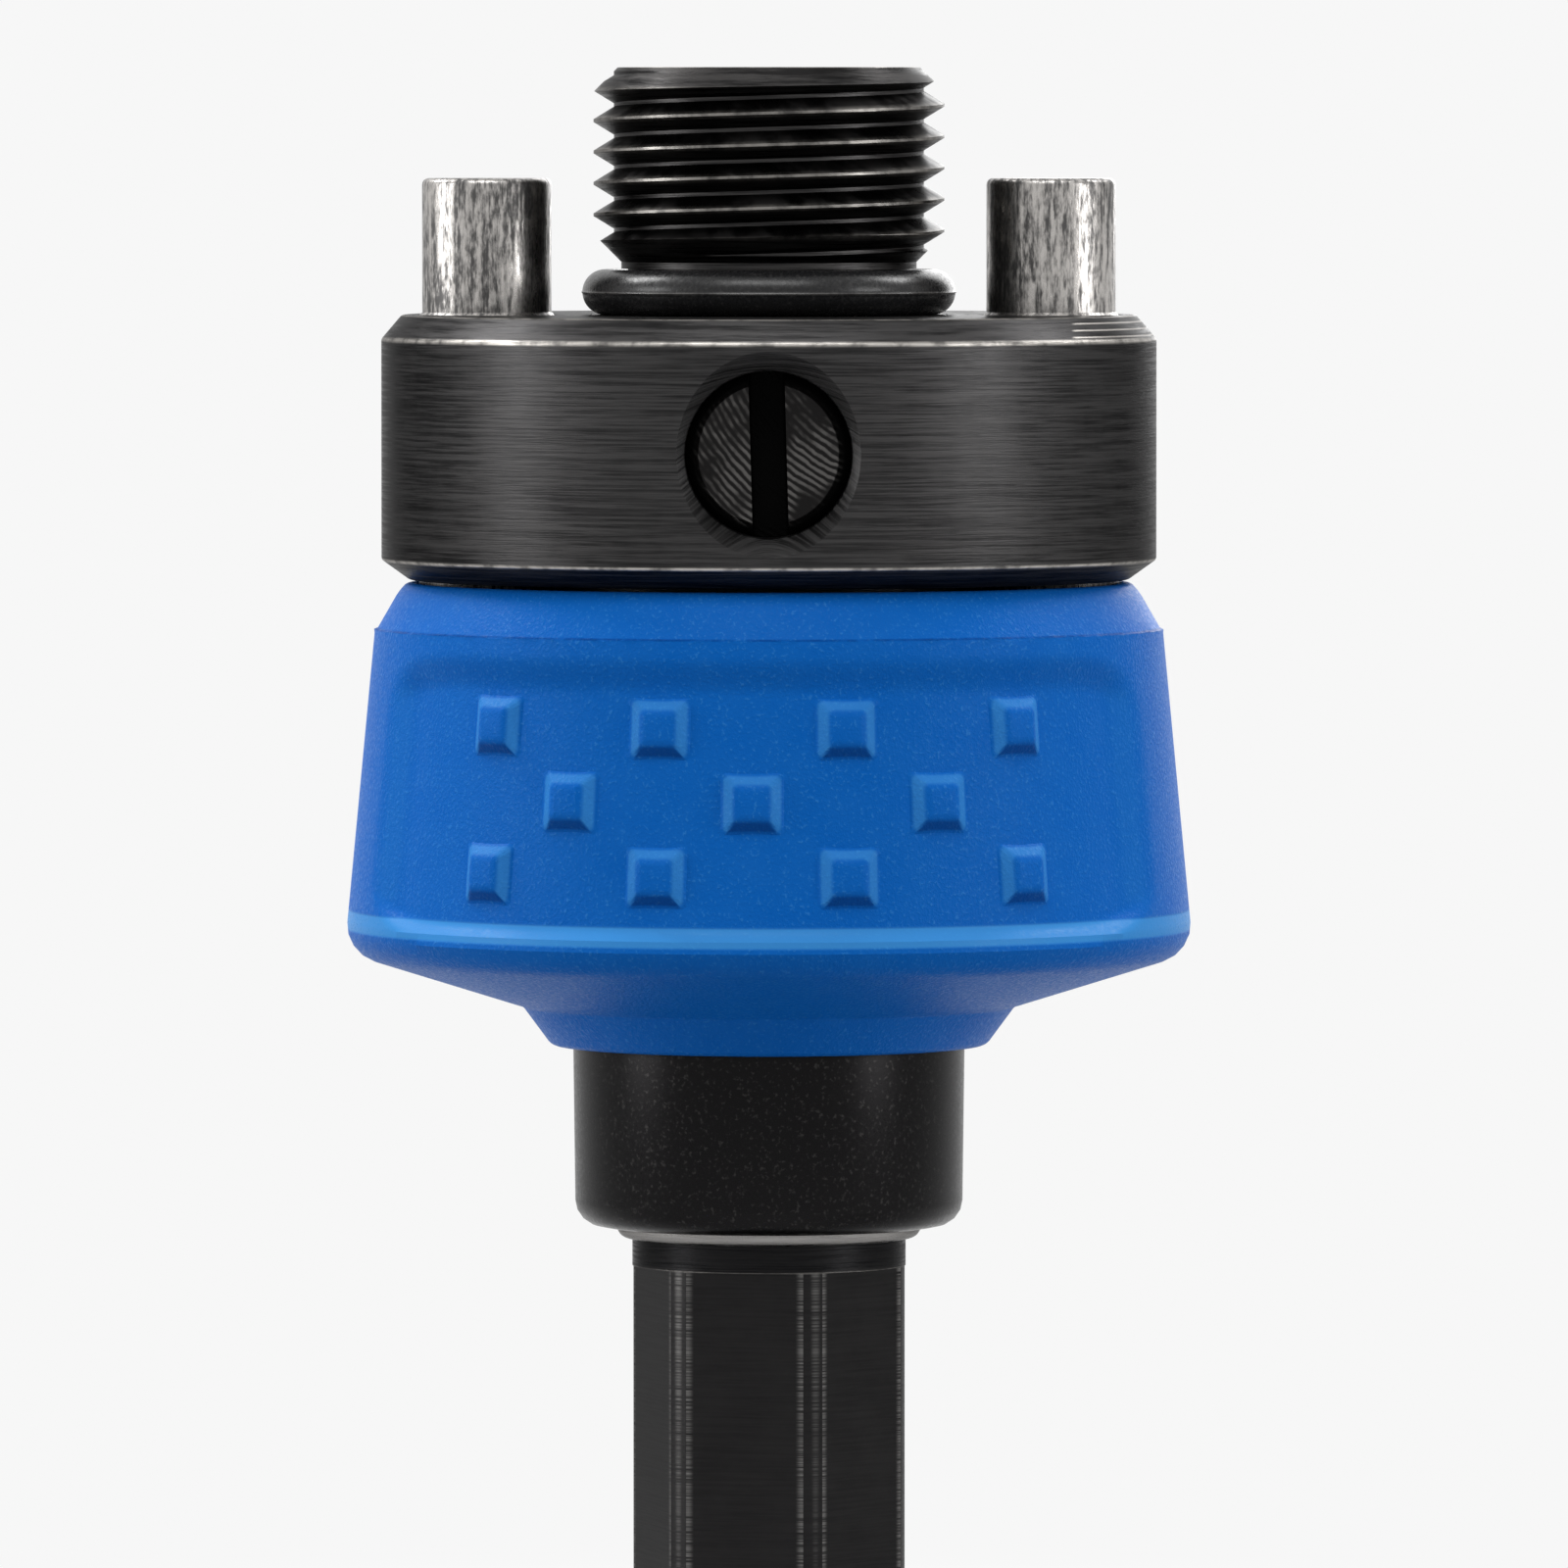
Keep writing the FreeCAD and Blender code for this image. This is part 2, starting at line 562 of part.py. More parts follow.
def make_grip_collar():
    body = new_body("grip_collar")
    collar_height = f"({collar_rim} - {collar_lip})"
    seat_height = f"({carrier_foot} - {collar_lip})"
    step_height = f"({collar_height} - Sizes.rim_height)"
    lip_bore = f"({sleeve_top_radius} + Sizes.sliding_fit)"
    lip_radius = f"({lip_bore} + Sizes.lip_wall)"
    rim_radius = f"({cavity_radius} + Sizes.rim_wall)"
    step_radius = f"({rim_radius} + Sizes.rim_slope)"
    skirt_radius = f"({step_radius} + Sizes.skirt_flare)"

    def skirt_at(height):
        share = f"(({height}) - Sizes.skirt_height) / ({step_height} - Sizes.skirt_height)"
        return f"({skirt_radius} - Sizes.skirt_flare * {share})"

    profile = new_sketch(body, "collar_profile", "XZ_Plane")
    draw_outline(profile, [
        (lip_bore, "0"),
        (lip_radius, "0"),
        (f"{lip_radius} + Sizes.neck_ring_flare", "Sizes.neck_ring_height"),
        (skirt_radius, "Sizes.skirt_height"),
        (step_radius, step_height),
        (f"{step_radius} - Sizes.step_width", f"{step_height} + Sizes.step_width / 2"),
        (f"{rim_radius} + Sizes.rim_round / 2", f"{collar_height} - Sizes.rim_round / 2"),
        (rim_radius, collar_height),
        (cavity_radius, collar_height),
        (cavity_radius, seat_height),
        (chamber_radius, seat_height),
        (chamber_radius, "Sizes.lip_height"),
        (lip_bore, "Sizes.lip_height")])
    moulded = turned(body, "collar_moulded", profile)
    widest = matching_edges(moulded, is_ring(skirt_radius, "Sizes.skirt_height"))
    rounded(body, "skirt_rounding", moulded, widest, "Sizes.skirt_round")

    core = new_sketch(body, "core_section", "XZ_Plane")
    hub_radius = f"({chamber_radius} + Sizes.hub_wall)"
    core_radius = f"({cavity_radius} - Sizes.carrier_ledge)"
    draw_outline(core, [(hub_radius, "Sizes.core_floor"), (core_radius, "Sizes.core_floor"),
                        (core_radius, seat_height), (hub_radius, seat_height)])
    turned(body, "core_ring", core, kind="Groove")

    rib = new_sketch(body, "rib_outline", "XY_Plane", raised="Sizes.core_floor")
    half_rib = "Sizes.rib_width / 2"
    rib_start, rib_end = f"{hub_radius} - Sizes.rib_root", f"{core_radius} + Sizes.rib_root"
    draw_outline(rib, [(rib_start, negative(half_rib)), (rib_end, negative(half_rib)),
                       (rib_end, half_rib), (rib_start, half_rib)])
    one_rib = raised_pad(body, "core_rib", rib, f"{seat_height} - Sizes.core_floor")
    around_axis(body, "core_ribs", [one_rib], 4)

    boss = body.newObject("PartDesign::AdditiveCylinder", "screw_boss")
    bind(boss, Radius="Sizes.boss_radius", Height=f"{seat_height} - Sizes.core_floor",
         Placement=carrier_screw_place("45 - Sizes.collar_turn", "Sizes.core_floor"))
    hole = body.newObject("PartDesign::SubtractiveCylinder", "boss_hole")
    hole_depth = "(Sizes.screw_length - Sizes.carrier_thickness + Sizes.boss_hole_spare)"
    bind(hole, Radius="Sizes.screw_radius + Sizes.fixed_fit", Height=hole_depth,
         Placement=carrier_screw_place("45 - Sizes.collar_turn", f"{seat_height} - {hole_depth}"))
    doc.recompute()
    around_axis(body, "screw_bosses", [boss, hole], 4)

    panel_bottom = "(Sizes.skirt_height + Sizes.panel_foot_margin)"
    panel_top = f"({step_height} - Sizes.panel_top_margin)"
    sill = f"({panel_bottom} + Sizes.panel_sill)"
    brow = f"({panel_top} - Sizes.panel_brow)"
    outside = f"({skirt_radius} + 1)"

    def panel_section(name, angle, depth):
        section = new_sketch(body, name, "YZ_Plane", flipped=True, turned=angle, turn_axis=(0, 1, 0))
        draw_outline(section, [
            (outside, panel_bottom),
            (skirt_at(panel_bottom), panel_bottom),
            (f"{skirt_at(sill)} - {depth}", sill),
            (f"{skirt_at(brow)} - {depth}", brow),
            (skirt_at(panel_top), panel_top),
            (outside, panel_top)])
        return section

    middle = panel_section("panel_section", None, "Sizes.panel_depth")
    panel = turned(body, "grip_panel", middle, kind="Groove", angle="Sizes.panel_angle", both_ways=True)
    fades = []
    for end, side in (("left", -1), ("right", 1)):
        full = panel_section(f"panel_{end}_end", f"{side} * Sizes.panel_angle / 2", "Sizes.panel_depth")
        faint = panel_section(f"panel_{end}_fade", f"{side} * (Sizes.panel_angle / 2 + Sizes.panel_fade)",
                              "Sizes.panel_depth / 30")
        fade = body.newObject("PartDesign::SubtractiveLoft", f"panel_{end}_slope")
        fade.Profile = full
        fade.Sections = [faint]
        fade.Ruled = True
        doc.recompute()
        fades.append(fade)
    around_axis(body, "grip_panels", [panel] + fades, 2)

    lean = f"atan(Sizes.skirt_flare / ({step_height} - Sizes.skirt_height))"
    middle_row = f"(({panel_bottom} + {panel_top}) / 2 - Sizes.dot_row_drop)"
    for row_name, rows_up, count in (("low", -1, 4), ("middle", 0, 3), ("high", 1, 4)):
        height = f"({middle_row} + {rows_up} * Sizes.dot_row_pitch)"
        dot = body.newObject("PartDesign::AdditiveWedge", f"dot_{row_name}")
        root = "(Sizes.dot_base + (Sizes.dot_base - Sizes.dot_top) * Sizes.dot_sink / Sizes.dot_height)"
        bind(dot, Xmin=f"0 - {root} / 2", Zmin=f"0 - {root} / 2", Xmax=f"{root} / 2", Zmax=f"{root} / 2",
             X2min="0 - Sizes.dot_top / 2", Z2min="0 - Sizes.dot_top / 2",
             X2max="Sizes.dot_top / 2", Z2max="Sizes.dot_top / 2",
             Ymin="0", Ymax="Sizes.dot_sink + Sizes.dot_height")
        first_angle = f"-90 - {(count - 1) / 2} * Sizes.dot_step"
        reach = f"{skirt_at(height)} - Sizes.panel_depth - Sizes.dot_sink"
        bind(dot, Placement=" * ".join([
            placed("0", "0", height, turn=first_angle),
            placed(reach, "0", "0", turn_axis="0; 1; 0", turn=f"-1 * {lean}"),
            placed("0", "0", "0", turn="-90")]))
        doc.recompute()
        dots = body.newObject("PartDesign::MultiTransform", f"dots_{row_name}")
        dots.Originals = [dot]
        along = body.newObject("PartDesign::PolarPattern", f"dots_{row_name}_along")
        along.Axis = (origin_part(body, "Z_Axis"), [""])
        along.setExpression("Angle", f"{count - 1} * Sizes.dot_step")
        along.Occurrences = count
        opposite = body.newObject("PartDesign::PolarPattern", f"dots_{row_name}_opposite")
        opposite.Axis = (origin_part(body, "Z_Axis"), [""])
        opposite.Angle = 360
        opposite.Occurrences = 2
        dots.Transformations = [along, opposite]
        body.Tip = dots
        doc.recompute()

    bind(body, Placement=placed("0", "0", collar_lip, turn="Sizes.collar_turn"))
    return body


# Return spring: one wire coil with open ends, between the sleeve and the carrier

def make_return_spring():
    body = new_body("return_spring")
    wire = new_sketch(body, "spring_wire_section", "XZ_Plane")
    draw_circle(wire, spring_radius, "Sizes.spring_wire / 2", "Sizes.spring_wire / 2")
    coil = body.newObject("PartDesign::AdditiveHelix", "spring_coil")
    coil.Profile = wire
    coil.ReferenceAxis = (wire, ["V_Axis"])
    coil.Mode = 0
    coil.setExpression("Pitch", "(Sizes.spring_length - Sizes.spring_wire) / Sizes.spring_turns")
    coil.setExpression("Height", "Sizes.spring_length - Sizes.spring_wire")
    doc.recompute()
    bind(body, Placement=placed("0", "0", spring_foot))
    return body


# Guide sleeve: bears the spring and guides the collar's lip

def make_guide_sleeve():
    body = new_body("guide_sleeve")
    profile = new_sketch(body, "sleeve_profile", "XZ_Plane")
    narrow = f"({shank_radius} + Sizes.fixed_fit)"
    wide = f"({neck_radius} + Sizes.fixed_fit)"
    recess = f"({ring_radius} + Sizes.ring_wire / 2 + Sizes.fixed_fit)"
    draw_outline(profile, [
        (recess, "0"),
        (sleeve_foot_radius, "0"),
        (sleeve_top_radius, "Sizes.sleeve_length"),
        (wide, "Sizes.sleeve_length"),
        (wide, "Sizes.sleeve_ledge"),
        (narrow, "Sizes.sleeve_ledge"),
        (narrow, "Sizes.ring_recess"),
        (recess, "Sizes.ring_recess")])
    sleeve = turned(body, "sleeve_turned", profile)
    foot = matching_edges(sleeve, is_ring(sleeve_foot_radius, "0"))
    rounded(body, "foot_rounding", sleeve, foot, "Sizes.sleeve_foot_round")
    bind(body, Placement=placed("0", "0", sleeve_foot))
    return body


# Retaining ring: open round wire in the shank's groove, holding the sleeve up

def make_retaining_ring():
    body = new_body("sleeve_retaining_ring")
    section = new_sketch(body, "ring_section", "YZ_Plane", flipped=True)
    draw_circle(section, ring_radius, ring_level, "Sizes.ring_wire / 2")
    turned(body, "ring_bent", section, angle="360 - Sizes.ring_gap_angle", both_ways=True)
    return body


# Set screw: slotted, screwed in from the plate's rim until it clamps a pilot shank

def make_pilot_set_screw():
    body = new_body("pilot_set_screw")
    profile = new_sketch(body, "set_screw_profile", "XZ_Plane")
    edge = "Sizes.set_screw_chamfer"
    draw_outline(profile, [
        ("0", "0"),
        (f"Sizes.set_screw_radius - {edge}", "0"),
        ("Sizes.set_screw_radius", edge),
        ("Sizes.set_screw_radius", f"{set_screw_length} - {edge}"),
        (f"Sizes.set_screw_radius - {edge}", set_screw_length),
        ("0", set_screw_length)])
    turned(body, "set_screw_turned", profile)

    slot = new_sketch(body, "slot_outline", "XY_Plane", raised=set_screw_length)
    half_width = "(Sizes.slot_width / 2)"
    draw_outline(slot, [
        (negative(half_width), negative("Sizes.set_screw_radius")),
        (half_width, negative("Sizes.set_screw_radius")),
        (half_width, "Sizes.set_screw_radius"),
        (negative(half_width), "Sizes.set_screw_radius")])
    cut_out(body, "driver_slot", slot, length="Sizes.slot_depth")
    bind(body, Placement=" * ".join([
        placed("0", negative(set_screw_tip), set_screw_level, turn_axis="1; 0; 0", turn="90"),
        placed("0", "0", "0", turn="Sizes.set_screw_turn")]))
    return body


nodes = [
    make_spindle(),
    make_drive_plate(),
    make_nose_o_ring(),
    make_drive_pin("drive_pin_left", -1),
    make_drive_pin("drive_pin_right", 1),
    make_pin_carrier(),
    make_grip_collar(),
    make_return_spring(),
    make_guide_sleeve(),
    make_retaining_ring(),
    make_pilot_set_screw()]
for number in range(4):
    nodes.append(make_carrier_screw(f"carrier_screw_{number + 1}", 45 + 90 * number))
doc.recompute()

# Nothing is written until every object has recomputed and every piece is a sound solid
for thing in doc.Objects:
    if "Invalid" in thing.State or "Error" in thing.State:
        raise RuntimeError(f"{thing.Name} did not recompute")
for node in nodes:
    if node.Shape.isNull() or not node.Shape.isValid() or len(node.Shape.Solids) != 1:
        raise RuntimeError(f"{node.Label} is not one sound solid")

os.makedirs("parts", exist_ok=True)
for node in nodes:
    node.Shape.exportStep(f"parts/{node.Label}.step")
    box = node.Shape.BoundBox
    print(f"{node.Label}: volume {node.Shape.Volume:.1f}, z {box.ZMin:.2f} to {box.ZMax:.2f}")
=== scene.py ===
import json
import math

import bmesh
import bpy
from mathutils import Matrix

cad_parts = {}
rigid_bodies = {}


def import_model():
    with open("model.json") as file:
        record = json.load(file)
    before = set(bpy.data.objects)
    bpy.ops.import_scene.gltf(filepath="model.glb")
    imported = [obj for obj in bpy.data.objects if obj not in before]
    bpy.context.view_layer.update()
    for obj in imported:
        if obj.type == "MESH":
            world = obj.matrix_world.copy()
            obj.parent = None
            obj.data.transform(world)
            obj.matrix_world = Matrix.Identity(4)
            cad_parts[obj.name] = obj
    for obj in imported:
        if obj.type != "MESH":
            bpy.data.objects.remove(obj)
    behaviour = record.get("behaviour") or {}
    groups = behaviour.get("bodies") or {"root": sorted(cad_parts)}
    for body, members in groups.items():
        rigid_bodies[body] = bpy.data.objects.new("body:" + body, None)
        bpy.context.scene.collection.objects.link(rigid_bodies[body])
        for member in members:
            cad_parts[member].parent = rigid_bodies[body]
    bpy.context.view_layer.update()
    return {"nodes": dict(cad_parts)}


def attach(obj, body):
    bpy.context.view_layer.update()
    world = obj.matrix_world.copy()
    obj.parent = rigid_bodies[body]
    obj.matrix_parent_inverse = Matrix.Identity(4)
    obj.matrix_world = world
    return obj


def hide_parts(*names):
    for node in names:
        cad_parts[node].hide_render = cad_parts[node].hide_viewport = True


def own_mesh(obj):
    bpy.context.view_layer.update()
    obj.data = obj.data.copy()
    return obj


# Hole saw arbor in metres, standing on the end of its shank. Sizes in the dictionaries are
# millimetres and degrees, and those of the stage, the lamps and the camera's place are metres.

for leftover in list(bpy.data.objects):
    bpy.data.objects.remove(leftover)

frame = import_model()
print("CAD frame loaded")

mm = 0.001
near = 0.01  # how closely a point of the collar is found by its place
samePlace = 0.0001
mergeWithin = 0.0005


# Working on one piece

def clearSelection():
    if bpy.context.object and bpy.context.object.mode == "EDIT":
        bpy.ops.object.mode_set(mode="OBJECT")
    bpy.ops.object.select_all(action="DESELECT")


def makeActive(piece):
    clearSelection()
    piece.select_set(True)
    bpy.context.view_layer.objects.active = piece


def openForEditing(piece, kind="VERT"):
    makeActive(piece)
    bpy.ops.object.mode_set(mode="EDIT")
    bpy.ops.mesh.select_mode(type=kind)
    bpy.ops.mesh.select_all(action="DESELECT")


def closeEditing():
    bpy.ops.object.mode_set(mode="OBJECT")


def pick(piece, kind, wanted):
    bpy.ops.mesh.select_all(action="DESELECT")
    mesh = bmesh.from_edit_mesh(piece.data)
    for part in getattr(mesh, kind):
        if wanted(part):
            part.select_set(True)
    mesh.select_flush_mode()
    bmesh.update_edit_mesh(piece.data)


def settle(piece, place=(0, 0, 0), turn=(0, 0, 0)):
    # Puts the place and the turn into the mesh and leaves the object at the origin
    makeActive(piece)
    piece.location = [part * mm for part in place]
    piece.rotation_euler = [math.radians(angle) for angle in turn]
    bpy.ops.object.transform_apply(location=True, rotation=True, scale=True)


def smoothPiece(piece, angle=32):
    makeActive(piece)
    bpy.ops.object.shade_smooth_by_angle(angle=math.radians(angle))


def tidyMesh(piece):
    openForEditing(piece)
    bpy.ops.mesh.select_all(action="SELECT")
    bpy.ops.mesh.remove_doubles(threshold=mergeWithin * mm)
    bpy.ops.mesh.normals_make_consistent(inside=False)
    closeEditing()


def drawProfile(name, corners, closed):
    # Each corner is (radius, height, rounding), drawn one after another in the XZ plane
    clearSelection()
    bpy.ops.mesh.primitive_plane_add(size=mm)
    piece = bpy.context.object
    piece.name = name
    bpy.ops.object.mode_set(mode="EDIT")
    bpy.ops.mesh.select_mode(type="VERT")
    bpy.ops.mesh.select_all(action="SELECT")
    bpy.ops.mesh.merge(type="CENTER")
    spots = [(radius * mm, height * mm) for radius, height, rounding in corners]
    bpy.ops.transform.translate(value=(spots[0][0], 0, spots[0][1]))
    following = spots[1:] + spots[:1] if closed else spots[1:]
    for (radius, height), (nextRadius, nextHeight) in zip(spots, following):
        step = (nextRadius - radius, 0, nextHeight - height)
        bpy.ops.mesh.extrude_region_move(TRANSFORM_OT_translate={"value": step})
    bpy.ops.mesh.select_all(action="SELECT")
    bpy.ops.mesh.remove_doubles(threshold=mergeWithin * mm)
    for radius, height, rounding in corners:
        if rounding:
            pick(piece, "verts", lambda vert: abs(vert.co.x - radius * mm) < samePlace * mm
                 and abs(vert.co.z - height * mm) < samePlace * mm)
            bpy.ops.mesh.bevel(offset=rounding * mm, segments=4, affect="VERTICES")
    return piece


def spinRound(piece, steps):
    bpy.ops.mesh.select_all(action="SELECT")
    bpy.ops.mesh.spin(steps=steps, angle=2 * math.pi, center=(0, 0, 0), axis=(0, 0, 1))
    closeEditing()
    tidyMesh(piece)


def turnOnLathe(name, corners, closed=False, steps=192):
    piece = drawProfile(name, corners, closed)
    spinRound(piece, steps)
    return piece


def combine(piece, other, how="DIFFERENCE"):
    makeActive(piece)
    tool = piece.modifiers.new("combine", "BOOLEAN")
    tool.object = other
    tool.operation = how
    tool.solver = "EXACT"
    bpy.ops.object.modifier_apply(modifier=tool.name)
    bpy.data.objects.remove(other)


def giveMaterial(piece, material):
    piece.data.materials.clear()
    piece.data.materials.append(material)


# Shader nodes

def setSocket(tree, socket, value):
    # A socket takes another node's output or a plain value
    if isinstance(value, bpy.types.NodeSocket):
        tree.links.new(value, socket)
    else:
        socket.default_value = value


def addNode(tree, kind, values=None, **settings):
    node = tree.nodes.new("ShaderNode" + kind)
    for name, setting in settings.items():
        setattr(node, name, setting)
    for socket, value in (values or {}).items():
        setSocket(tree, node.inputs[socket], value)
    return node


def calculate(tree, operation, first, second=0.0, third=0.0):
    return addNode(tree, "Math", {0: first, 1: second, 2: third}, operation=operation).outputs[0]


def times(tree, first, *others):
    for other in others:
        first = calculate(tree, "MULTIPLY", first, other)
    return first


def fade(tree, value, start, end, low=0.0, high=1.0):
    # Turns a value from start to end smoothly into low to high
    return addNode(tree, "MapRange", {"Value": value, "From Min": start, "From Max": end, "To Min": low,
                                      "To Max": high}, interpolation_type="SMOOTHSTEP").outputs["Result"]


def between(tree, value, start, full, falling, end):
    # 1 from full to falling, and 0 before start and after end
    return times(tree, fade(tree, value, start, full), fade(tree, value, falling, end, 1.0, 0.0))


def noise(tree, vector, scale=1.0, detail=2.0, roughness=0.5):
    values = {"Vector": vector, "Scale": scale, "Detail": detail, "Roughness": roughness}
    return addNode(tree, "TexNoise", values).outputs["Fac"]


def mixColours(tree, share, first, second):
    return addNode(tree, "Mix", {0: share, 6: first, 7: second}, data_type="RGBA").outputs[2]


def objectSpot(tree):
    return addNode(tree, "TexCoord").outputs["Object"]


def separate(tree, vector):
    return addNode(tree, "SeparateXYZ", {0: vector}).outputs


def axisDistance(tree, parts):
    squared = calculate(tree, "MULTIPLY_ADD", parts[1], parts[1], times(tree, parts[0], parts[0]))
    return calculate(tree, "SQRT", squared)


def newGroup(name, inputs, outputs):
    group = bpy.data.node_groups.new(name, "ShaderNodeTree")
    for label, value in inputs.items():
        socket = group.interface.new_socket(label, in_out="INPUT", socket_type="NodeSocketFloat")
        socket.default_value = value
    for label in outputs:
        group.interface.new_socket(label, in_out="OUTPUT", socket_type="NodeSocketFloat")
    start = group.nodes.new("NodeGroupInput")
    end = group.nodes.new("NodeGroupOutput")
    return group, start.outputs, end.inputs


def useGroup(tree, group, **values):
    return addNode(tree, "Group", values, node_tree=group).outputs


def makeRoundPlace():
    # Where a point lies on the arbor, in millimetres: distance from the axis and height
    group, given, result = newGroup("roundPlace", {}, ["Radius", "Height"])
    parts = separate(group, objectSpot(group))
    group.links.new(times(group, axisDistance(group, parts), 1000), result["Radius"])
    group.links.new(times(group, parts[2], 1000), result["Height"])
    return group


def makeTurnedLines():
    # Fine lines left by a lathe tool, running round the axis on rims and faces alike
    # The radius counts only above the height FacesFrom, and milled flats below CalmBelow are smoother
    group, given, result = newGroup("turnedLines", {"Spacing": 0.2, "Length": 3.0, "FacesFrom": -1.0,
                                                    "CalmBelow": -1.0}, ["Lines", "Clouds"])
    spot = objectSpot(group)
    parts = separate(group, spot)
    height = times(group, parts[2], 1000)
    radiusShare = times(group, calculate(group, "GREATER_THAN", height, given["FacesFrom"]), 0.6)
    run = calculate(group, "MULTIPLY_ADD", axisDistance(group, parts), radiusShare, parts[2])
    perLength = calculate(group, "DIVIDE", 1000, given["Length"])
    perSpacing = calculate(group, "DIVIDE", 1000, given["Spacing"])
    stretched = addNode(group, "CombineXYZ", {0: times(group, parts[0], perLength),
                                              1: times(group, parts[1], perLength),
                                              2: times(group, run, perSpacing)})
    lines = noise(group, stretched.outputs[0], 1.0, 4.0, 0.7)
    turnedPart = calculate(group, "GREATER_THAN", height, given["CalmBelow"])
    contrast = fade(group, turnedPart, 0.0, 1.0, 0.25, 1.0)
    swing = calculate(group, "SUBTRACT", fade(group, lines, 0.36, 0.64), 0.5)
    group.links.new(calculate(group, "MULTIPLY_ADD", swing, contrast, 0.5), result["Lines"])
    clouds = noise(group, spot, 420.0, 3.0, 0.6)
    group.links.new(fade(group, clouds, 0.3, 0.7), result["Clouds"])
    return group


def makeBandWear():
    # A line where a value passes a level, patchy along its length: worn edges, seams, and painted
    # highlights along edges
    group, given, result = newGroup("bandWear", {"Value": 0.0, "Level": 0.0, "Width": 0.2}, ["Wear"])
    gap = calculate(group, "ABSOLUTE", calculate(group, "SUBTRACT", given["Value"], given["Level"]))
    share = calculate(group, "DIVIDE", gap, given["Width"])
    patches = fade(group, noise(group, objectSpot(group), 900.0, 3.0, 0.65), 0.3, 0.62, 0.25, 1.0)
    group.links.new(times(group, fade(group, share, 0.0, 1.0, 1.0, 0.0), patches), result["Wear"])
    return group


def makeSpeckle():
    # Small grain without a direction, its size in millimetres
    group, given, result = newGroup("speckle", {"Size": 0.12}, ["Grain", "Dots"])
    scale = calculate(group, "DIVIDE", 1000, given["Size"])
    grain = noise(group, objectSpot(group), scale, 2.0, 0.6)
    group.links.new(grain, result["Grain"])
    group.links.new(fade(group, grain, 0.56, 0.72), result["Dots"])
    return group


roundPlace = makeRoundPlace()
turnedLines = makeTurnedLines()
bandWear = makeBandWear()
speckle = makeSpeckle()


def startMaterial(name, colour, roughness, metallic=0.0, edgeTint=1.0):
    # A low edgeTint keeps a blackened metal dark where its surface turns away
    material = bpy.data.materials.new(name)
    material.use_nodes = True
    shader = material.node_tree.nodes["Principled BSDF"]
    shader.inputs["Base Color"].default_value = (*colour[:3], 1)
    shader.inputs["Roughness"].default_value = roughness
    shader.inputs["Metallic"].default_value = metallic
    shader.inputs["Specular Tint"].default_value = (edgeTint, edgeTint, edgeTint, 1)
    return material, material.node_tree, shader


def addBump(tree, shader, height, depth, strength=1.0):
    bump = addNode(tree, "Bump", {"Height": height, "Distance": depth * mm, "Strength": strength})
    tree.links.new(bump.outputs["Normal"], shader.inputs["Normal"])


def addColour(tree, shader, share, colour):
    # Lays a share of another colour over the one that the shader already has
    before = shader.inputs["Base Color"].links[0].from_socket
    tree.links.new(mixColours(tree, share, before, colour), shader.inputs["Base Color"])


bareSteel = (0.6, 0.57, 0.53, 1)


def turnedSteel(name, dark, light, edges, roughness=(0.32, 0.5), spacing=0.2, length=3.0, wearAndGlint=0.35,
                facesFrom=-1.0, calmBelow=-1.0, edgeTint=0.45):
    # The black is rubbed off at edges, and these pale edge lines are also painted highlights on the sharp
    # edges: each is "Radius" or "Height", its level, the line's width and the distance from the axis where
    # it starts
    material, tree, shader = startMaterial(name, dark, roughness[0], 1.0, edgeTint)
    lines = useGroup(tree, turnedLines, Spacing=spacing, Length=length, FacesFrom=facesFrom,
                     CalmBelow=calmBelow)
    spot = useGroup(tree, roundPlace)
    colour = mixColours(tree, lines["Lines"], (*dark, 1), (*light, 1))
    dusty = mixColours(tree, times(tree, lines["Clouds"], 0.35), colour, (*light, 1))
    tree.links.new(dusty, shader.inputs["Base Color"])
    wornAndGlinting = 0.0
    for value, level, width, start in edges:
        band = useGroup(tree, bandWear, Value=spot[value], Level=level, Width=width)["Wear"]
        band = times(tree, band, fade(tree, spot["Radius"], start, start + 0.1))
        wornAndGlinting = calculate(tree, "MAXIMUM", wornAndGlinting, band)
    if edges:
        addColour(tree, shader, times(tree, wornAndGlinting, wearAndGlint), bareSteel)
    tree.links.new(fade(tree, lines["Lines"], 0.0, 1.0, *roughness), shader.inputs["Roughness"])
    addBump(tree, shader, lines["Lines"], 0.010, 0.5)
    return material


# Drive plate: a thick turned disc with two pin holes, a double-D seat and the set screw's hole

drivePlateSizes = {
    "radius": 17.45, "foot": 61.65, "top": 73.55, "edge": 0.10, "steps": 360,
    "topChamfer": 0.92, "topDrop": 1.08, "footChamfer": 1.25, "footRise": 0.9,
    "seatRadius": 8.73, "seatFlat": 8.03,
    "pinOrbit": 12.7, "pinHole": 3.17, "mouth": 0.12,
    "screwHeight": 67.6, "screwHole": 3.68, "screwHoleStart": 2, "countersink": 4.55, "sinkEdge": 0.08,
    "beyond": 1,  # how far a cutter stands out of the plate
}
plateSteelFinish = {
    "dark": (0.0165, 0.0163, 0.0166), "light": (0.043, 0.0420, 0.0422), "chamferGlint": (0.5, 0.47, 0.44, 1),
    "toolStep": 0.3, "glintStepsFrom": 13.4, "chamferGlintShare": 0.45, "topWearFrom": 0.15,
}


def makeSeatCutter():
    s = drivePlateSizes
    clearSelection()
    bpy.ops.mesh.primitive_cylinder_add(vertices=s["steps"], radius=s["seatRadius"] * mm,
                                        depth=(s["top"] - s["foot"] + 2 * s["beyond"]) * mm)
    seat = bpy.context.object
    openForEditing(seat)
    for side in (-1, 1):
        pick(seat, "verts", lambda vert: side * vert.co.x > s["seatFlat"] * mm)
        bpy.ops.transform.resize(value=(0, 1, 1), center_override=(side * s["seatFlat"] * mm, 0, 0))
    closeEditing()
    settle(seat, place=(0, 0, (s["top"] + s["foot"]) / 2))
    return seat


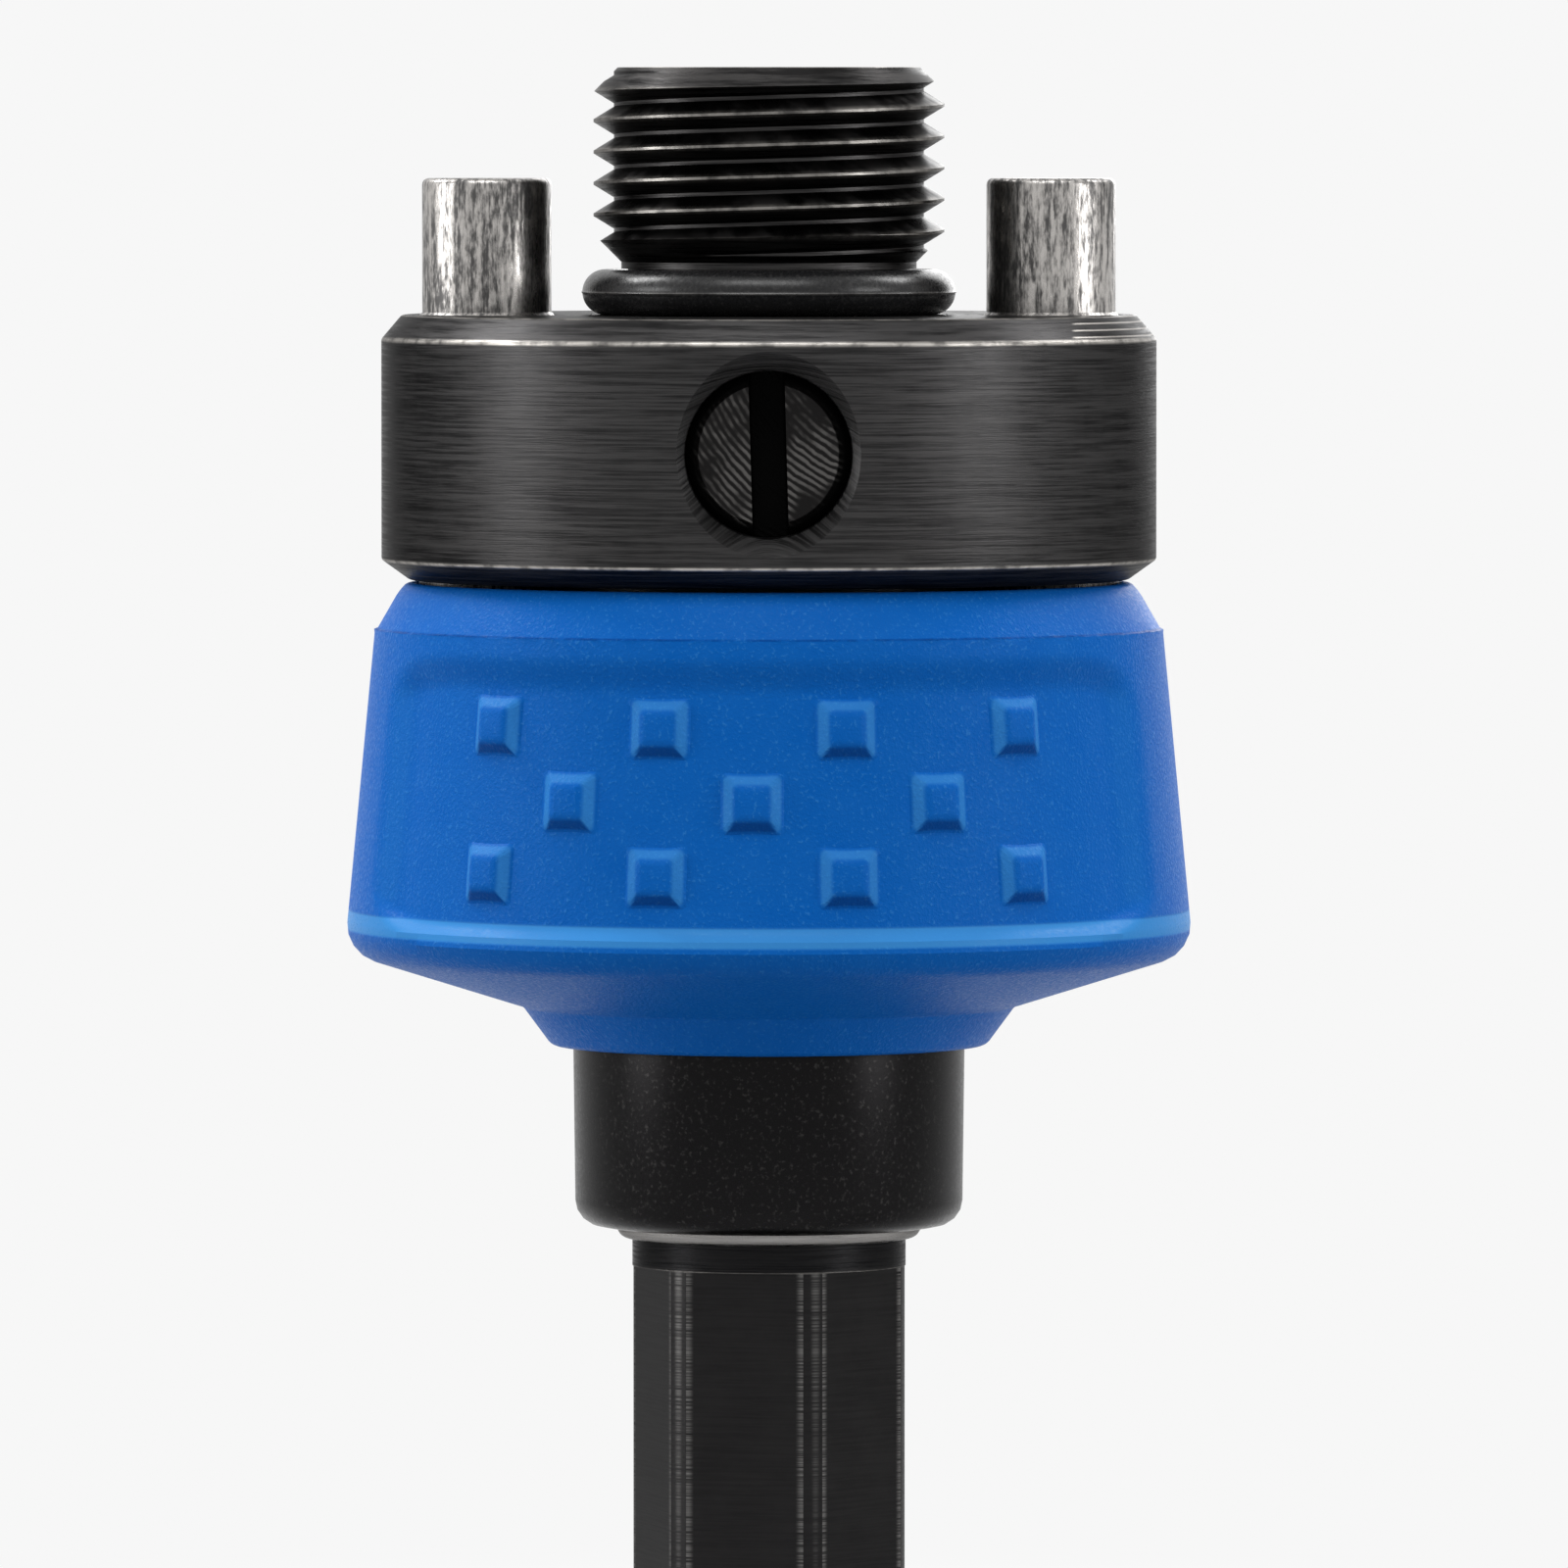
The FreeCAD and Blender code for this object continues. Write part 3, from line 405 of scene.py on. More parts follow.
def makePinHoleCutter(side):
    s = drivePlateSizes
    hole = turnOnLathe("pinHoleCutter", [
        (0, s["foot"] - s["beyond"], 0),
        (s["pinHole"], s["foot"] - s["beyond"], 0),
        (s["pinHole"], s["top"] - s["mouth"], 0),
        (s["pinHole"] + s["mouth"] + s["beyond"], s["top"] + s["beyond"], 0),
        (0, s["top"] + s["beyond"], 0)], steps=96)
    settle(hole, place=(side * s["pinOrbit"], 0, 0))
    return hole


def makeScrewHoleCutter():
    s = drivePlateSizes
    sunk = s["countersink"] - s["screwHole"]
    screwHole = turnOnLathe("screwHoleCutter", [
        (0, s["screwHoleStart"], 0),
        (s["screwHole"], s["screwHoleStart"], 0),
        (s["screwHole"], s["radius"] - sunk, s["sinkEdge"]),
        (s["countersink"] + s["beyond"], s["radius"] + s["beyond"], 0),
        (0, s["radius"] + s["beyond"], 0)], steps=128)
    settle(screwHole, place=(0, 0, s["screwHeight"]), turn=(90, 0, 0))
    return screwHole


def makeDrivePlate():
    s = drivePlateSizes
    plate = turnOnLathe("drivePlate", [
        (0, s["foot"], 0),
        (s["radius"] - s["footChamfer"], s["foot"], s["edge"]),
        (s["radius"], s["foot"] + s["footRise"], s["edge"]),
        (s["radius"], s["top"] - s["topDrop"], s["edge"]),
        (s["radius"] - s["topChamfer"], s["top"], s["edge"]),
        (0, s["top"], 0)], steps=s["steps"])
    combine(plate, makeSeatCutter())
    for side in (-1, 1):
        combine(plate, makePinHoleCutter(side))
    combine(plate, makeScrewHoleCutter())
    tidyMesh(plate)
    smoothPiece(plate)
    return plate


def plateSteelMaterial():
    s, f = drivePlateSizes, plateSteelFinish
    chamferFoot = s["top"] - s["topDrop"]
    topWearFrom = s["radius"] - s["topChamfer"] - f["topWearFrom"]
    # Pale lines at the upper chamfer's foot, the lower chamfer's top and the top edge: worn black, and
    # partly painted highlights
    edges = [("Height", chamferFoot, 0.16, 0), ("Height", s["foot"] + s["footRise"], 0.12, 0),
             ("Height", s["top"], 0.07, topWearFrom)]
    material = turnedSteel("plateSteel", f["dark"], f["light"], edges, roughness=(0.30, 0.42), spacing=0.12,
                           length=6.0, wearAndGlint=0.6)
    # Bright tool steps, painted only on the front right of the upper chamfer as a painted highlight
    tree = material.node_tree
    parts = separate(tree, objectSpot(tree))
    height = times(tree, parts[2], 1000)
    steps = calculate(tree, "SINE", times(tree, height, 2 * math.pi / f["toolStep"]))
    onChamfer = between(tree, height, chamferFoot, chamferFoot + 0.1, s["top"] - 0.2, s["top"])
    onSide = fade(tree, times(tree, parts[0], 1000), f["glintStepsFrom"], f["glintStepsFrom"] + 0.3)
    front = calculate(tree, "LESS_THAN", parts[1], 0.0)
    marks = times(tree, fade(tree, steps, 0.55, 0.95), onChamfer, onSide, front, f["chamferGlintShare"])
    addColour(tree, tree.nodes["Principled BSDF"], marks, f["chamferGlint"])
    return material


drivePlate = makeDrivePlate()
giveMaterial(drivePlate, plateSteelMaterial())
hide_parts("drive_plate")
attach(drivePlate, "arbor")
print("drive plate turned and bored")


# Set screw: a slotted steel screw, its face cut off with a coarse tool

setScrewSizes = {
    "radius": 3.65, "length": 12.4, "edge": 0.56, "round": 0.05, "lean": 1.6,
    "tipChamfer": 0.5, "tipRound": 0.1,
    "slotWidth": 1.6, "slotDepth": 1.5, "slotLength": 8.76, "slotCorner": 0.2,
    "tip": 4.0, "height": 67.6,
}
screwBlackFinish = {
    "dark": (0.012, 0.0115, 0.0115, 1), "light": (0.085, 0.082, 0.079, 1), "slot": (0.004, 0.004, 0.004, 1),
    "sweepX": 6.8, "sweepZ": 74.5, "sweepRate": 21.0, "sweepWander": 0.35,
}


def makeSlotCutter():
    s = setScrewSizes
    clearSelection()
    bpy.ops.mesh.primitive_cube_add(size=mm)
    slot = bpy.context.object
    slot.scale = (s["slotWidth"], s["slotLength"], 2 * s["slotDepth"])
    bpy.ops.object.transform_apply(scale=True)
    openForEditing(slot, "EDGE")
    pick(slot, "edges", lambda edge: all(vert.co.z < 0 for vert in edge.verts)
         and abs(edge.verts[0].co.y - edge.verts[1].co.y) > mm)
    bpy.ops.mesh.bevel(offset=s["slotCorner"] * mm, segments=3)
    closeEditing()
    settle(slot, place=(0, 0, s["length"]))
    return slot


def makeSetScrew():
    s = setScrewSizes
    screw = turnOnLathe("setScrew", [
        (0, 0, 0),
        (s["radius"] - s["tipChamfer"], 0, s["tipRound"]),
        (s["radius"], s["tipChamfer"], s["tipRound"]),
        (s["radius"], s["length"] - s["edge"], s["round"]),
        (s["radius"] - s["edge"], s["length"], s["round"]),
        (0, s["length"], 0)], steps=128)
    combine(screw, makeSlotCutter())
    tidyMesh(screw)
    settle(screw, turn=(0, 0, s["lean"]))
    settle(screw, place=(0, -s["tip"], s["height"]), turn=(90, 0, 0))
    smoothPiece(screw)
    return screw


def screwBlackMaterial():
    s, f = setScrewSizes, screwBlackFinish
    material, tree, shader = startMaterial("screwBlack", (0.02, 0.0195, 0.019), 0.42, 1.0, edgeTint=0.2)
    spot = objectSpot(tree)
    face = -s["tip"] - s["length"]
    # Painted shade: the slot is darkened to near black below the screw's face, and made rougher there
    inSlot = fade(tree, times(tree, separate(tree, spot)[1], 1000), face + 0.04, face + 0.3)
    # The tool swept round a centre up and to the right of the screw's face
    centre = (-f["sweepX"] * mm, 0, -f["sweepZ"] * mm)
    shifted = addNode(tree, "VectorMath", {0: spot, 1: centre}, operation="ADD").outputs[0]
    flat = addNode(tree, "VectorMath", {0: shifted, 1: (1000, 0, 1000)}, operation="MULTIPLY").outputs[0]
    reach = addNode(tree, "VectorMath", {0: flat}, operation="LENGTH").outputs["Value"]
    warp = noise(tree, spot, 700.0, 3.0, 0.6)
    sweep = calculate(tree, "MULTIPLY_ADD", warp, f["sweepWander"], reach)
    arcs = calculate(tree, "SINE", times(tree, sweep, f["sweepRate"]))
    patches = fade(tree, noise(tree, spot, 520.0, 3.0, 0.6), 0.38, 0.62)
    marks = times(tree, fade(tree, arcs, -0.6, 1.0), patches)
    grain = useGroup(tree, speckle, Size=0.09)["Grain"]
    colour = mixColours(tree, marks, f["dark"], f["light"])
    tree.links.new(mixColours(tree, inSlot, colour, f["slot"]), shader.inputs["Base Color"])
    tree.links.new(fade(tree, inSlot, 0.0, 1.0, 0.4, 0.7), shader.inputs["Roughness"])
    addBump(tree, shader, calculate(tree, "MULTIPLY_ADD", grain, 0.4, marks), 0.03, 0.8)
    return material


setScrew = makeSetScrew()
giveMaterial(setScrew, screwBlackMaterial())
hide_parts("pilot_set_screw")
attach(setScrew, "set_screw")
print("set screw cut")


# Rubber ring under the thread, with the thin seam that its mould left

rubberRingSizes = {"radius": 7.375, "section": 2.05, "level": 74.575, "seam": 0.045, "seamWidth": 0.07,
                   "sides": 40}
blackRubberFinish = {"dark": (0.008, 0.008, 0.0085, 1), "dust": (0.14, 0.135, 0.13, 1), "seamLine": 0.1}


def makeRubberRing():
    s = rubberRingSizes
    wire = s["section"] / 2
    corners = []
    for index in range(s["sides"]):
        angle = 2 * math.pi * index / s["sides"]
        corners.append((s["radius"] + wire * math.cos(angle), s["level"] + wire * math.sin(angle), 0))
    corners[0] = (s["radius"] + wire + s["seam"], s["level"], 0)
    corners.insert(1, (s["radius"] + wire, s["level"] + s["seamWidth"], 0))
    corners.append((s["radius"] + wire, s["level"] - s["seamWidth"], 0))
    ring = turnOnLathe("rubberRing", corners, closed=True, steps=192)
    smoothPiece(ring, 40)
    return ring


def rubberMaterial():
    f = blackRubberFinish
    material, tree, shader = startMaterial("blackRubber", f["dark"], 0.3)
    shader.inputs["Specular IOR Level"].default_value = 0.28
    height = useGroup(tree, roundPlace)["Height"]
    level = rubberRingSizes["level"]
    seam = useGroup(tree, bandWear, Value=height, Level=level, Width=f["seamLine"])["Wear"]
    dust = useGroup(tree, speckle, Size=0.16)
    pale = calculate(tree, "MULTIPLY_ADD", seam, 0.5, times(tree, dust["Dots"], 0.12))
    tree.links.new(mixColours(tree, pale, f["dark"], f["dust"]), shader.inputs["Base Color"])
    tree.links.new(fade(tree, dust["Grain"], 0.3, 0.7, 0.24, 0.36), shader.inputs["Roughness"])
    addBump(tree, shader, dust["Grain"], 0.012, 0.5)
    return material


rubberRing = makeRubberRing()
giveMaterial(rubberRing, rubberMaterial())
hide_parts("nose_o_ring")
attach(rubberRing, "arbor")
print("rubber ring moulded")


# Drive pins: bare ground steel, a little thinner at the free end

drivePinSizes = {
    "orbit": 12.7, "foot": 57.9, "shoulder": 60.3, "step": 73.67, "stepHeight": 0.16, "top": 79.7,
    "spigot": 2.0, "guided": 3.07, "free": 2.91,
    "edge": 0.3, "footEdge": 0.1, "shoulderEdge": 0.05,
}
pinSteelFinish = {
    "dark": (0.075, 0.073, 0.072, 1), "light": (0.46, 0.44, 0.42, 1),
    "mottle": (5200, 5200, 1500), "drawLines": (3200, 3200, 260),
}


def makeDrivePin(name, side):
    s = drivePinSizes
    pin = turnOnLathe(name, [
        (0, s["foot"], 0),
        (s["spigot"], s["foot"], s["footEdge"]),
        (s["spigot"], s["shoulder"], 0),
        (s["guided"], s["shoulder"], s["shoulderEdge"]),
        (s["guided"], s["step"] - s["stepHeight"], 0),
        (s["free"], s["step"], 0),
        (s["free"], s["top"], s["edge"]),
        (0, s["top"], 0)], steps=96)
    settle(pin, place=(side * s["orbit"], 0, 0))
    smoothPiece(pin, 40)
    return pin


def pinSteelMaterial():
    f = pinSteelFinish
    material, tree, shader = startMaterial("pinSteel", (0.42, 0.41, 0.39), 0.3, 1.0)
    spot = objectSpot(tree)
    blotches = addNode(tree, "Mapping", {"Vector": spot, "Scale": f["mottle"]}).outputs[0]
    mottle = noise(tree, blotches, 1.0, 4.0, 0.65)
    streaks = addNode(tree, "Mapping", {"Vector": spot, "Scale": f["drawLines"]}).outputs[0]
    drawLines = noise(tree, streaks, 1.0, 3.0, 0.6)
    both = calculate(tree, "MULTIPLY_ADD", drawLines, 0.5, times(tree, mottle, 0.5))
    colour = mixColours(tree, fade(tree, both, 0.4, 0.6), f["dark"], f["light"])
    tree.links.new(colour, shader.inputs["Base Color"])
    tree.links.new(fade(tree, both, 0.35, 0.65, 0.46, 0.24), shader.inputs["Roughness"])
    addBump(tree, shader, both, 0.03, 0.7)
    return material


pinSteel = pinSteelMaterial()
for pinName, side in (("left", -1), ("right", 1)):
    drivePin = makeDrivePin("drivePin_" + pinName, side)
    giveMaterial(drivePin, pinSteel)
    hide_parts("drive_pin_" + pinName)
    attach(drivePin, "collar")
print("drive pins turned")


# Return spring: one wire coil round the neck. The real spring shortens as the collar draws back; this coil
# keeps one length.

returnSpringSizes = {
    "foot": 42.6, "length": 15.28, "wire": 1.2, "radius": 8.05, "turns": 5.5, "travel": 6.8,
    "sides": 20, "steps": 380,
}


def makeReturnSpring():
    s = returnSpringSizes
    clearSelection()
    bpy.ops.mesh.primitive_circle_add(vertices=s["sides"], radius=s["wire"] / 2 * mm)
    coil = bpy.context.object
    coil.name = "returnSpring"
    settle(coil, place=(s["radius"], 0, s["foot"] + s["wire"] / 2), turn=(90, 0, 0))
    winding = coil.modifiers.new("wind", "SCREW")
    winding.angle = 2 * math.pi * s["turns"]
    winding.screw_offset = (s["length"] - s["wire"]) * mm
    winding.steps = winding.render_steps = s["steps"]
    bpy.ops.object.modifier_apply(modifier=winding.name)
    openForEditing(coil)
    bpy.ops.mesh.select_all(action="SELECT")
    bpy.ops.mesh.fill_holes(sides=s["sides"])
    closeEditing()
    tidyMesh(coil)
    smoothPiece(coil, 40)
    return coil


returnSpring = makeReturnSpring()
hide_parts("return_spring")
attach(returnSpring, "arbor")
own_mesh(returnSpring)
print("return spring wound")


# Guide sleeve: smooth black tube under the collar

guideSleeveSizes = {
    "foot": 32.5, "length": 10.1, "topRadius": 8.85, "footRadius": 8.72, "footRound": 1.15,
    "narrow": 6.2, "wide": 7.23, "ledge": 2.6, "recess": 6.88, "recessDepth": 0.45,
    "edge": 0.12, "recessEdge": 0.06, "boreEdge": 0.05,
}
sleeveBlackFinish = {"dark": (0.009, 0.0087, 0.009, 1), "pale": (0.25, 0.24, 0.23, 1), "footLine": 0.2}


def makeGuideSleeve():
    s = guideSleeveSizes
    foot = s["foot"]
    sleeve = turnOnLathe("guideSleeve", [
        (s["recess"], foot, s["recessEdge"]),
        (s["footRadius"], foot, s["footRound"]),
        (s["topRadius"], foot + s["length"], s["edge"]),
        (s["wide"], foot + s["length"], s["edge"]),
        (s["wide"], foot + s["ledge"], 0),
        (s["narrow"], foot + s["ledge"], s["boreEdge"]),
        (s["narrow"], foot + s["recessDepth"], s["boreEdge"]),
        (s["recess"], foot + s["recessDepth"], 0)], closed=True, steps=256)
    smoothPiece(sleeve)
    return sleeve


def sleeveMaterial():
    f = sleeveBlackFinish
    material, tree, shader = startMaterial("sleeveBlack", f["dark"], 0.33, 1.0, edgeTint=0.8)
    grain = useGroup(tree, speckle, Size=0.2)
    height = useGroup(tree, roundPlace)["Height"]
    # A pale line at the sleeve's foot is a painted highlight; the faint pale speckle comes from the grain
    level = guideSleeveSizes["foot"]
    foot = useGroup(tree, bandWear, Value=height, Level=level, Width=f["footLine"])["Wear"]
    pale = calculate(tree, "MULTIPLY_ADD", foot, 0.5, times(tree, grain["Dots"], 0.06))
    tree.links.new(mixColours(tree, pale, f["dark"], f["pale"]), shader.inputs["Base Color"])
    tree.links.new(fade(tree, grain["Grain"], 0.3, 0.7, 0.27, 0.36), shader.inputs["Roughness"])
    addBump(tree, shader, grain["Grain"], 0.006, 0.4)
    return material


guideSleeve = makeGuideSleeve()
giveMaterial(guideSleeve, sleeveMaterial())
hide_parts("guide_sleeve")
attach(guideSleeve, "arbor")
print("guide sleeve turned")


# Grip collar: blue moulding with two recessed panels of small pyramids. Heights are from its lip.

gripCollarSizes = {
    "lip": 40.64, "height": 20.86, "turn": -2.3,
    "lipBore": 8.95, "lipRadius": 9.80, "lipHeight": 3.4, "boreEdge": 0.1, "lipRound": 0.25,
    "neckRingRadius": 11.10, "neckRingHeight": 1.76, "neckRingRound": 0.12,
    "skirtRadius": 19.13, "skirtHeight": 4.26, "skirtRound": 1.30,
    "stepRadius": 17.75, "stepHeight": 18.76, "stepWidth": 0.13, "stepSlope": 0.06, "stepRise": 0.104,
    "stepWaver": 0.05,
    "rimRadius": 16.30, "rimChamfer": 0.35, "chamferRound": 0.3, "rimRound": 0.2,
    "cavityRadius": 15.81, "seatHeight": 17.26, "chamberRadius": 9.40, "edge": 0.08,
    "hubRadius": 11.2, "coreRadius": 14.95, "coreFloor": 6.4, "coreRound": 0.3,
    "panelFoot": 5.24, "panelTop": 18.1, "panelDepth": 0.5, "footSlope": 0.95, "topSlope": 1.7,
    "panelHalfAngle": 69.0, "sideSlope": 10.0, "cornerStart": 46.0, "footCorner": 1.7, "topCorner": 1.4,
    "wallRows": 84, "wallLength": 8, "wallInside": 17.2, "steps": 360,
}
gripDotSizes = {
    "base": 2.65, "top": 1.35, "height": 0.5, "sink": 0.4, "edge": 0.2,
    "step": 27.0, "rows": ((8.35, 4), (11.62, 3), (14.89, 4)),
}
bluePlasticFinish = {
    "deep": (0.001, 0.096, 0.415, 1), "pale": (0.06, 0.30, 0.64, 1), "shade": (0.001, 0.02, 0.13, 1),
    "grain": 0.16, "clouds": 1.6, "seamWidth": 0.09, "seamShare": 0.6,
    "paintedSheenShare": 0.60, "polishAndSheenFrom": 17.4, "lightShare": 0.36, "shadeShare": 0.55, "dotsReach": 14.2,
}


def smoothShare(value, start, end):
    share = min(1.0, max(0.0, (value - start) / (end - start)))
    return share * share * (3 - 2 * share)


def panelShare(spot):
    # How much of the recess a point of the collar's wall has, from 0 outside to 1 in the middle
    s = gripCollarSizes
    height = spot.z / mm
    angle = math.degrees(math.atan2(spot.x, -spot.y))
    angle = abs(angle) if abs(angle) < 90 else 180 - abs(angle)
    corner = max(0.0, angle - s["cornerStart"]) / (s["panelHalfAngle"] - s["cornerStart"])
    foot = s["panelFoot"] + s["footCorner"] * corner ** 3
    top = s["panelTop"] - s["topCorner"] * corner ** 3
    fromSide = smoothShare(s["panelHalfAngle"] - angle, 0, s["sideSlope"])
    fromFoot = smoothShare(height, foot, foot + s["footSlope"])
    fromTop = smoothShare(top - height, 0, s["topSlope"])
    return fromSide * fromFoot * fromTop


def wallLean():
    s = gripCollarSizes
    return (s["skirtRadius"] - s["stepRadius"]) / (s["stepHeight"] - s["skirtHeight"])


def wallRadiusAt(height):
    s = gripCollarSizes
    return s["skirtRadius"] - wallLean() * (height - s["skirtHeight"])


def makeGripDot():
    d = gripDotSizes
    clearSelection()
    bpy.ops.mesh.primitive_cube_add(size=mm)
    dot = bpy.context.object
    root = d["base"] + (d["base"] - d["top"]) * d["sink"] / d["height"]
    dot.scale = (d["height"] + d["sink"], root, root)
    bpy.ops.object.transform_apply(scale=True)
    openForEditing(dot, "FACE")
    pick(dot, "faces", lambda face: face.normal.x > 0.9)
    narrow = d["top"] / root
    bpy.ops.transform.resize(value=(1, narrow, narrow), center_override=(0, 0, 0))
    bpy.ops.mesh.select_mode(type="EDGE")
    pick(dot, "edges", lambda edge: max(vert.co.x for vert in edge.verts) > 0)
    bpy.ops.mesh.bevel(offset=d["edge"] * mm, segments=3)
    closeEditing()
    return dot


def makeGripDots():
    # One pyramid is shaped and copied to every place, then all are joined
    s, d = gripCollarSizes, gripDotSizes
    dot = makeGripDot()
    lean = math.degrees(math.atan(wallLean()))
    copies = []
    for height, count in d["rows"]:
        reach = wallRadiusAt(height) - s["panelDepth"] + (d["height"] - d["sink"]) / 2
        for index in range(count):
            for half in (0, 180):
                angle = (index - (count - 1) / 2) * d["step"] - 90 + half
                copy = dot.copy()
                copy.data = dot.data.copy()
                bpy.context.scene.collection.objects.link(copy)
                settle(copy, turn=(0, -lean, 0))
                settle(copy, place=(reach, 0, height))
                settle(copy, turn=(0, 0, angle))
                copies.append(copy)
    bpy.data.objects.remove(dot)
    clearSelection()
    for copy in copies:
        copy.select_set(True)
    bpy.context.view_layer.objects.active = copies[0]
    bpy.ops.object.join()
    return copies[0]


def turnCollar():
    s = gripCollarSizes
    stepInside = s["stepRadius"] - s["stepWidth"]
    stepTop = s["stepHeight"] + s["stepWidth"] / 2
    collar = drawProfile("gripCollar", [
        (s["lipBore"], 0, s["boreEdge"]),
        (s["lipRadius"], 0, s["lipRound"]),
        (s["neckRingRadius"], s["neckRingHeight"], s["neckRingRound"]),
        (s["skirtRadius"], s["skirtHeight"], s["skirtRound"]),
        (s["stepRadius"], s["stepHeight"], 0),
        (stepInside, stepTop, 0),
        (stepInside - s["stepSlope"], stepTop + s["stepRise"], 0),
        (s["rimRadius"] + s["rimChamfer"], s["height"] - s["rimChamfer"], s["chamferRound"]),
        (s["rimRadius"], s["height"], s["rimRound"]),
        (s["cavityRadius"], s["height"], s["edge"]),
        (s["cavityRadius"], s["seatHeight"], 0),
        (s["coreRadius"], s["seatHeight"], s["edge"]),
        (s["coreRadius"], s["coreFloor"], s["coreRound"]),
        (s["hubRadius"], s["coreFloor"], s["coreRound"]),
        (s["hubRadius"], s["seatHeight"], s["edge"]),
        (s["chamberRadius"], s["seatHeight"], s["edge"]),
        (s["chamberRadius"], s["lipHeight"], 0),
        (s["lipBore"], s["lipHeight"], s["boreEdge"])], closed=True)
    outside = (s["stepRadius"] - near) * mm
    bpy.ops.mesh.select_mode(type="EDGE")
    pick(collar, "edges", lambda edge: min(vert.co.x for vert in edge.verts) > outside
         and edge.calc_length() > s["wallLength"] * mm)
    bpy.ops.mesh.subdivide(number_cuts=s["wallRows"])
    bpy.ops.mesh.select_mode(type="VERT")
    spinRound(collar, s["steps"])
    return collar


def roughenStep(collar):
    # The parting step is never quite even
    s = gripCollarSizes
    outside = (s["stepRadius"] - near) * mm
    openForEditing(collar)
    pick(collar, "verts", lambda vert: abs(vert.co.z - s["stepHeight"] * mm) < near * mm
         and math.hypot(vert.co.x, vert.co.y) > outside)
    bpy.ops.transform.vertex_random(offset=s["stepWaver"] * mm, seed=4)
    closeEditing()


def pressPanels(collar):
    s = gripCollarSizes
    recess = collar.vertex_groups.new(name="recess")
    for vert in collar.data.vertices:
        if math.hypot(vert.co.x, vert.co.y) > s["wallInside"] * mm:
            share = panelShare(vert.co)
            if share > 0:
                recess.add([vert.index], share, "REPLACE")
    makeActive(collar)
    press = collar.modifiers.new("press", "DISPLACE")
    press.vertex_group = "recess"
    press.mid_level = 0
    press.strength = -s["panelDepth"] * mm
    bpy.ops.object.modifier_apply(modifier=press.name)


def makeGripCollar():
    s = gripCollarSizes
    collar = turnCollar()
    roughenStep(collar)
    pressPanels(collar)
    combine(collar, makeGripDots(), "UNION")
    tidyMesh(collar)
    settle(collar, place=(0, 0, s["lip"]), turn=(0, 0, s["turn"]))
    smoothPiece(collar, 28)
    return collar


def onPolishAndSheen(tree, spot):
    # A painted highlight in pale colour along the recess's lower edge, over the widest line, where the
    # surface is also made a little smoother
    s, f = gripCollarSizes, bluePlasticFinish
    foot = s["lip"] + s["panelFoot"]
    top = foot + s["footSlope"]
    onEdge = between(tree, spot["Height"], foot - 0.06, foot + 0.12, top - 0.12, top + 0.04)
    return times(tree, onEdge, fade(tree, spot["Radius"], f["polishAndSheenFrom"], f["polishAndSheenFrom"] + 0.4))


def onDotSlopes(tree, spot):
    # The pyramids' slopes stand between the panel's floor and the wall's level. The recess's side
    # slopes do too, farther to the sides, and mostly keep their colour.
    s, d, f = gripCollarSizes, gripDotSizes, bluePlasticFinish
    floorFoot = s["skirtRadius"] - s["panelDepth"] + wallLean() * (s["lip"] + s["skirtHeight"])
    straight = calculate(tree, "MULTIPLY_ADD", spot["Height"], wallLean(), spot["Radius"])
    rise = calculate(tree, "SUBTRACT", straight, floorFoot)
    lowest = s["lip"] + d["rows"][0][0] - d["base"] / 2
    highest = s["lip"] + d["rows"][-1][0] + d["base"] / 2
    inRows = between(tree, spot["Height"], lowest - 0.3, lowest, highest, highest + 0.3)
    across = calculate(tree, "ABSOLUTE", separate(tree, objectSpot(tree))[0])
    inMiddle = fade(tree, times(tree, across, 1000), f["dotsReach"], f["dotsReach"] + 1, 1.0, 0.15)
    return times(tree, between(tree, rise, 0.03, 0.14, 0.32, 0.46), inRows, inMiddle)


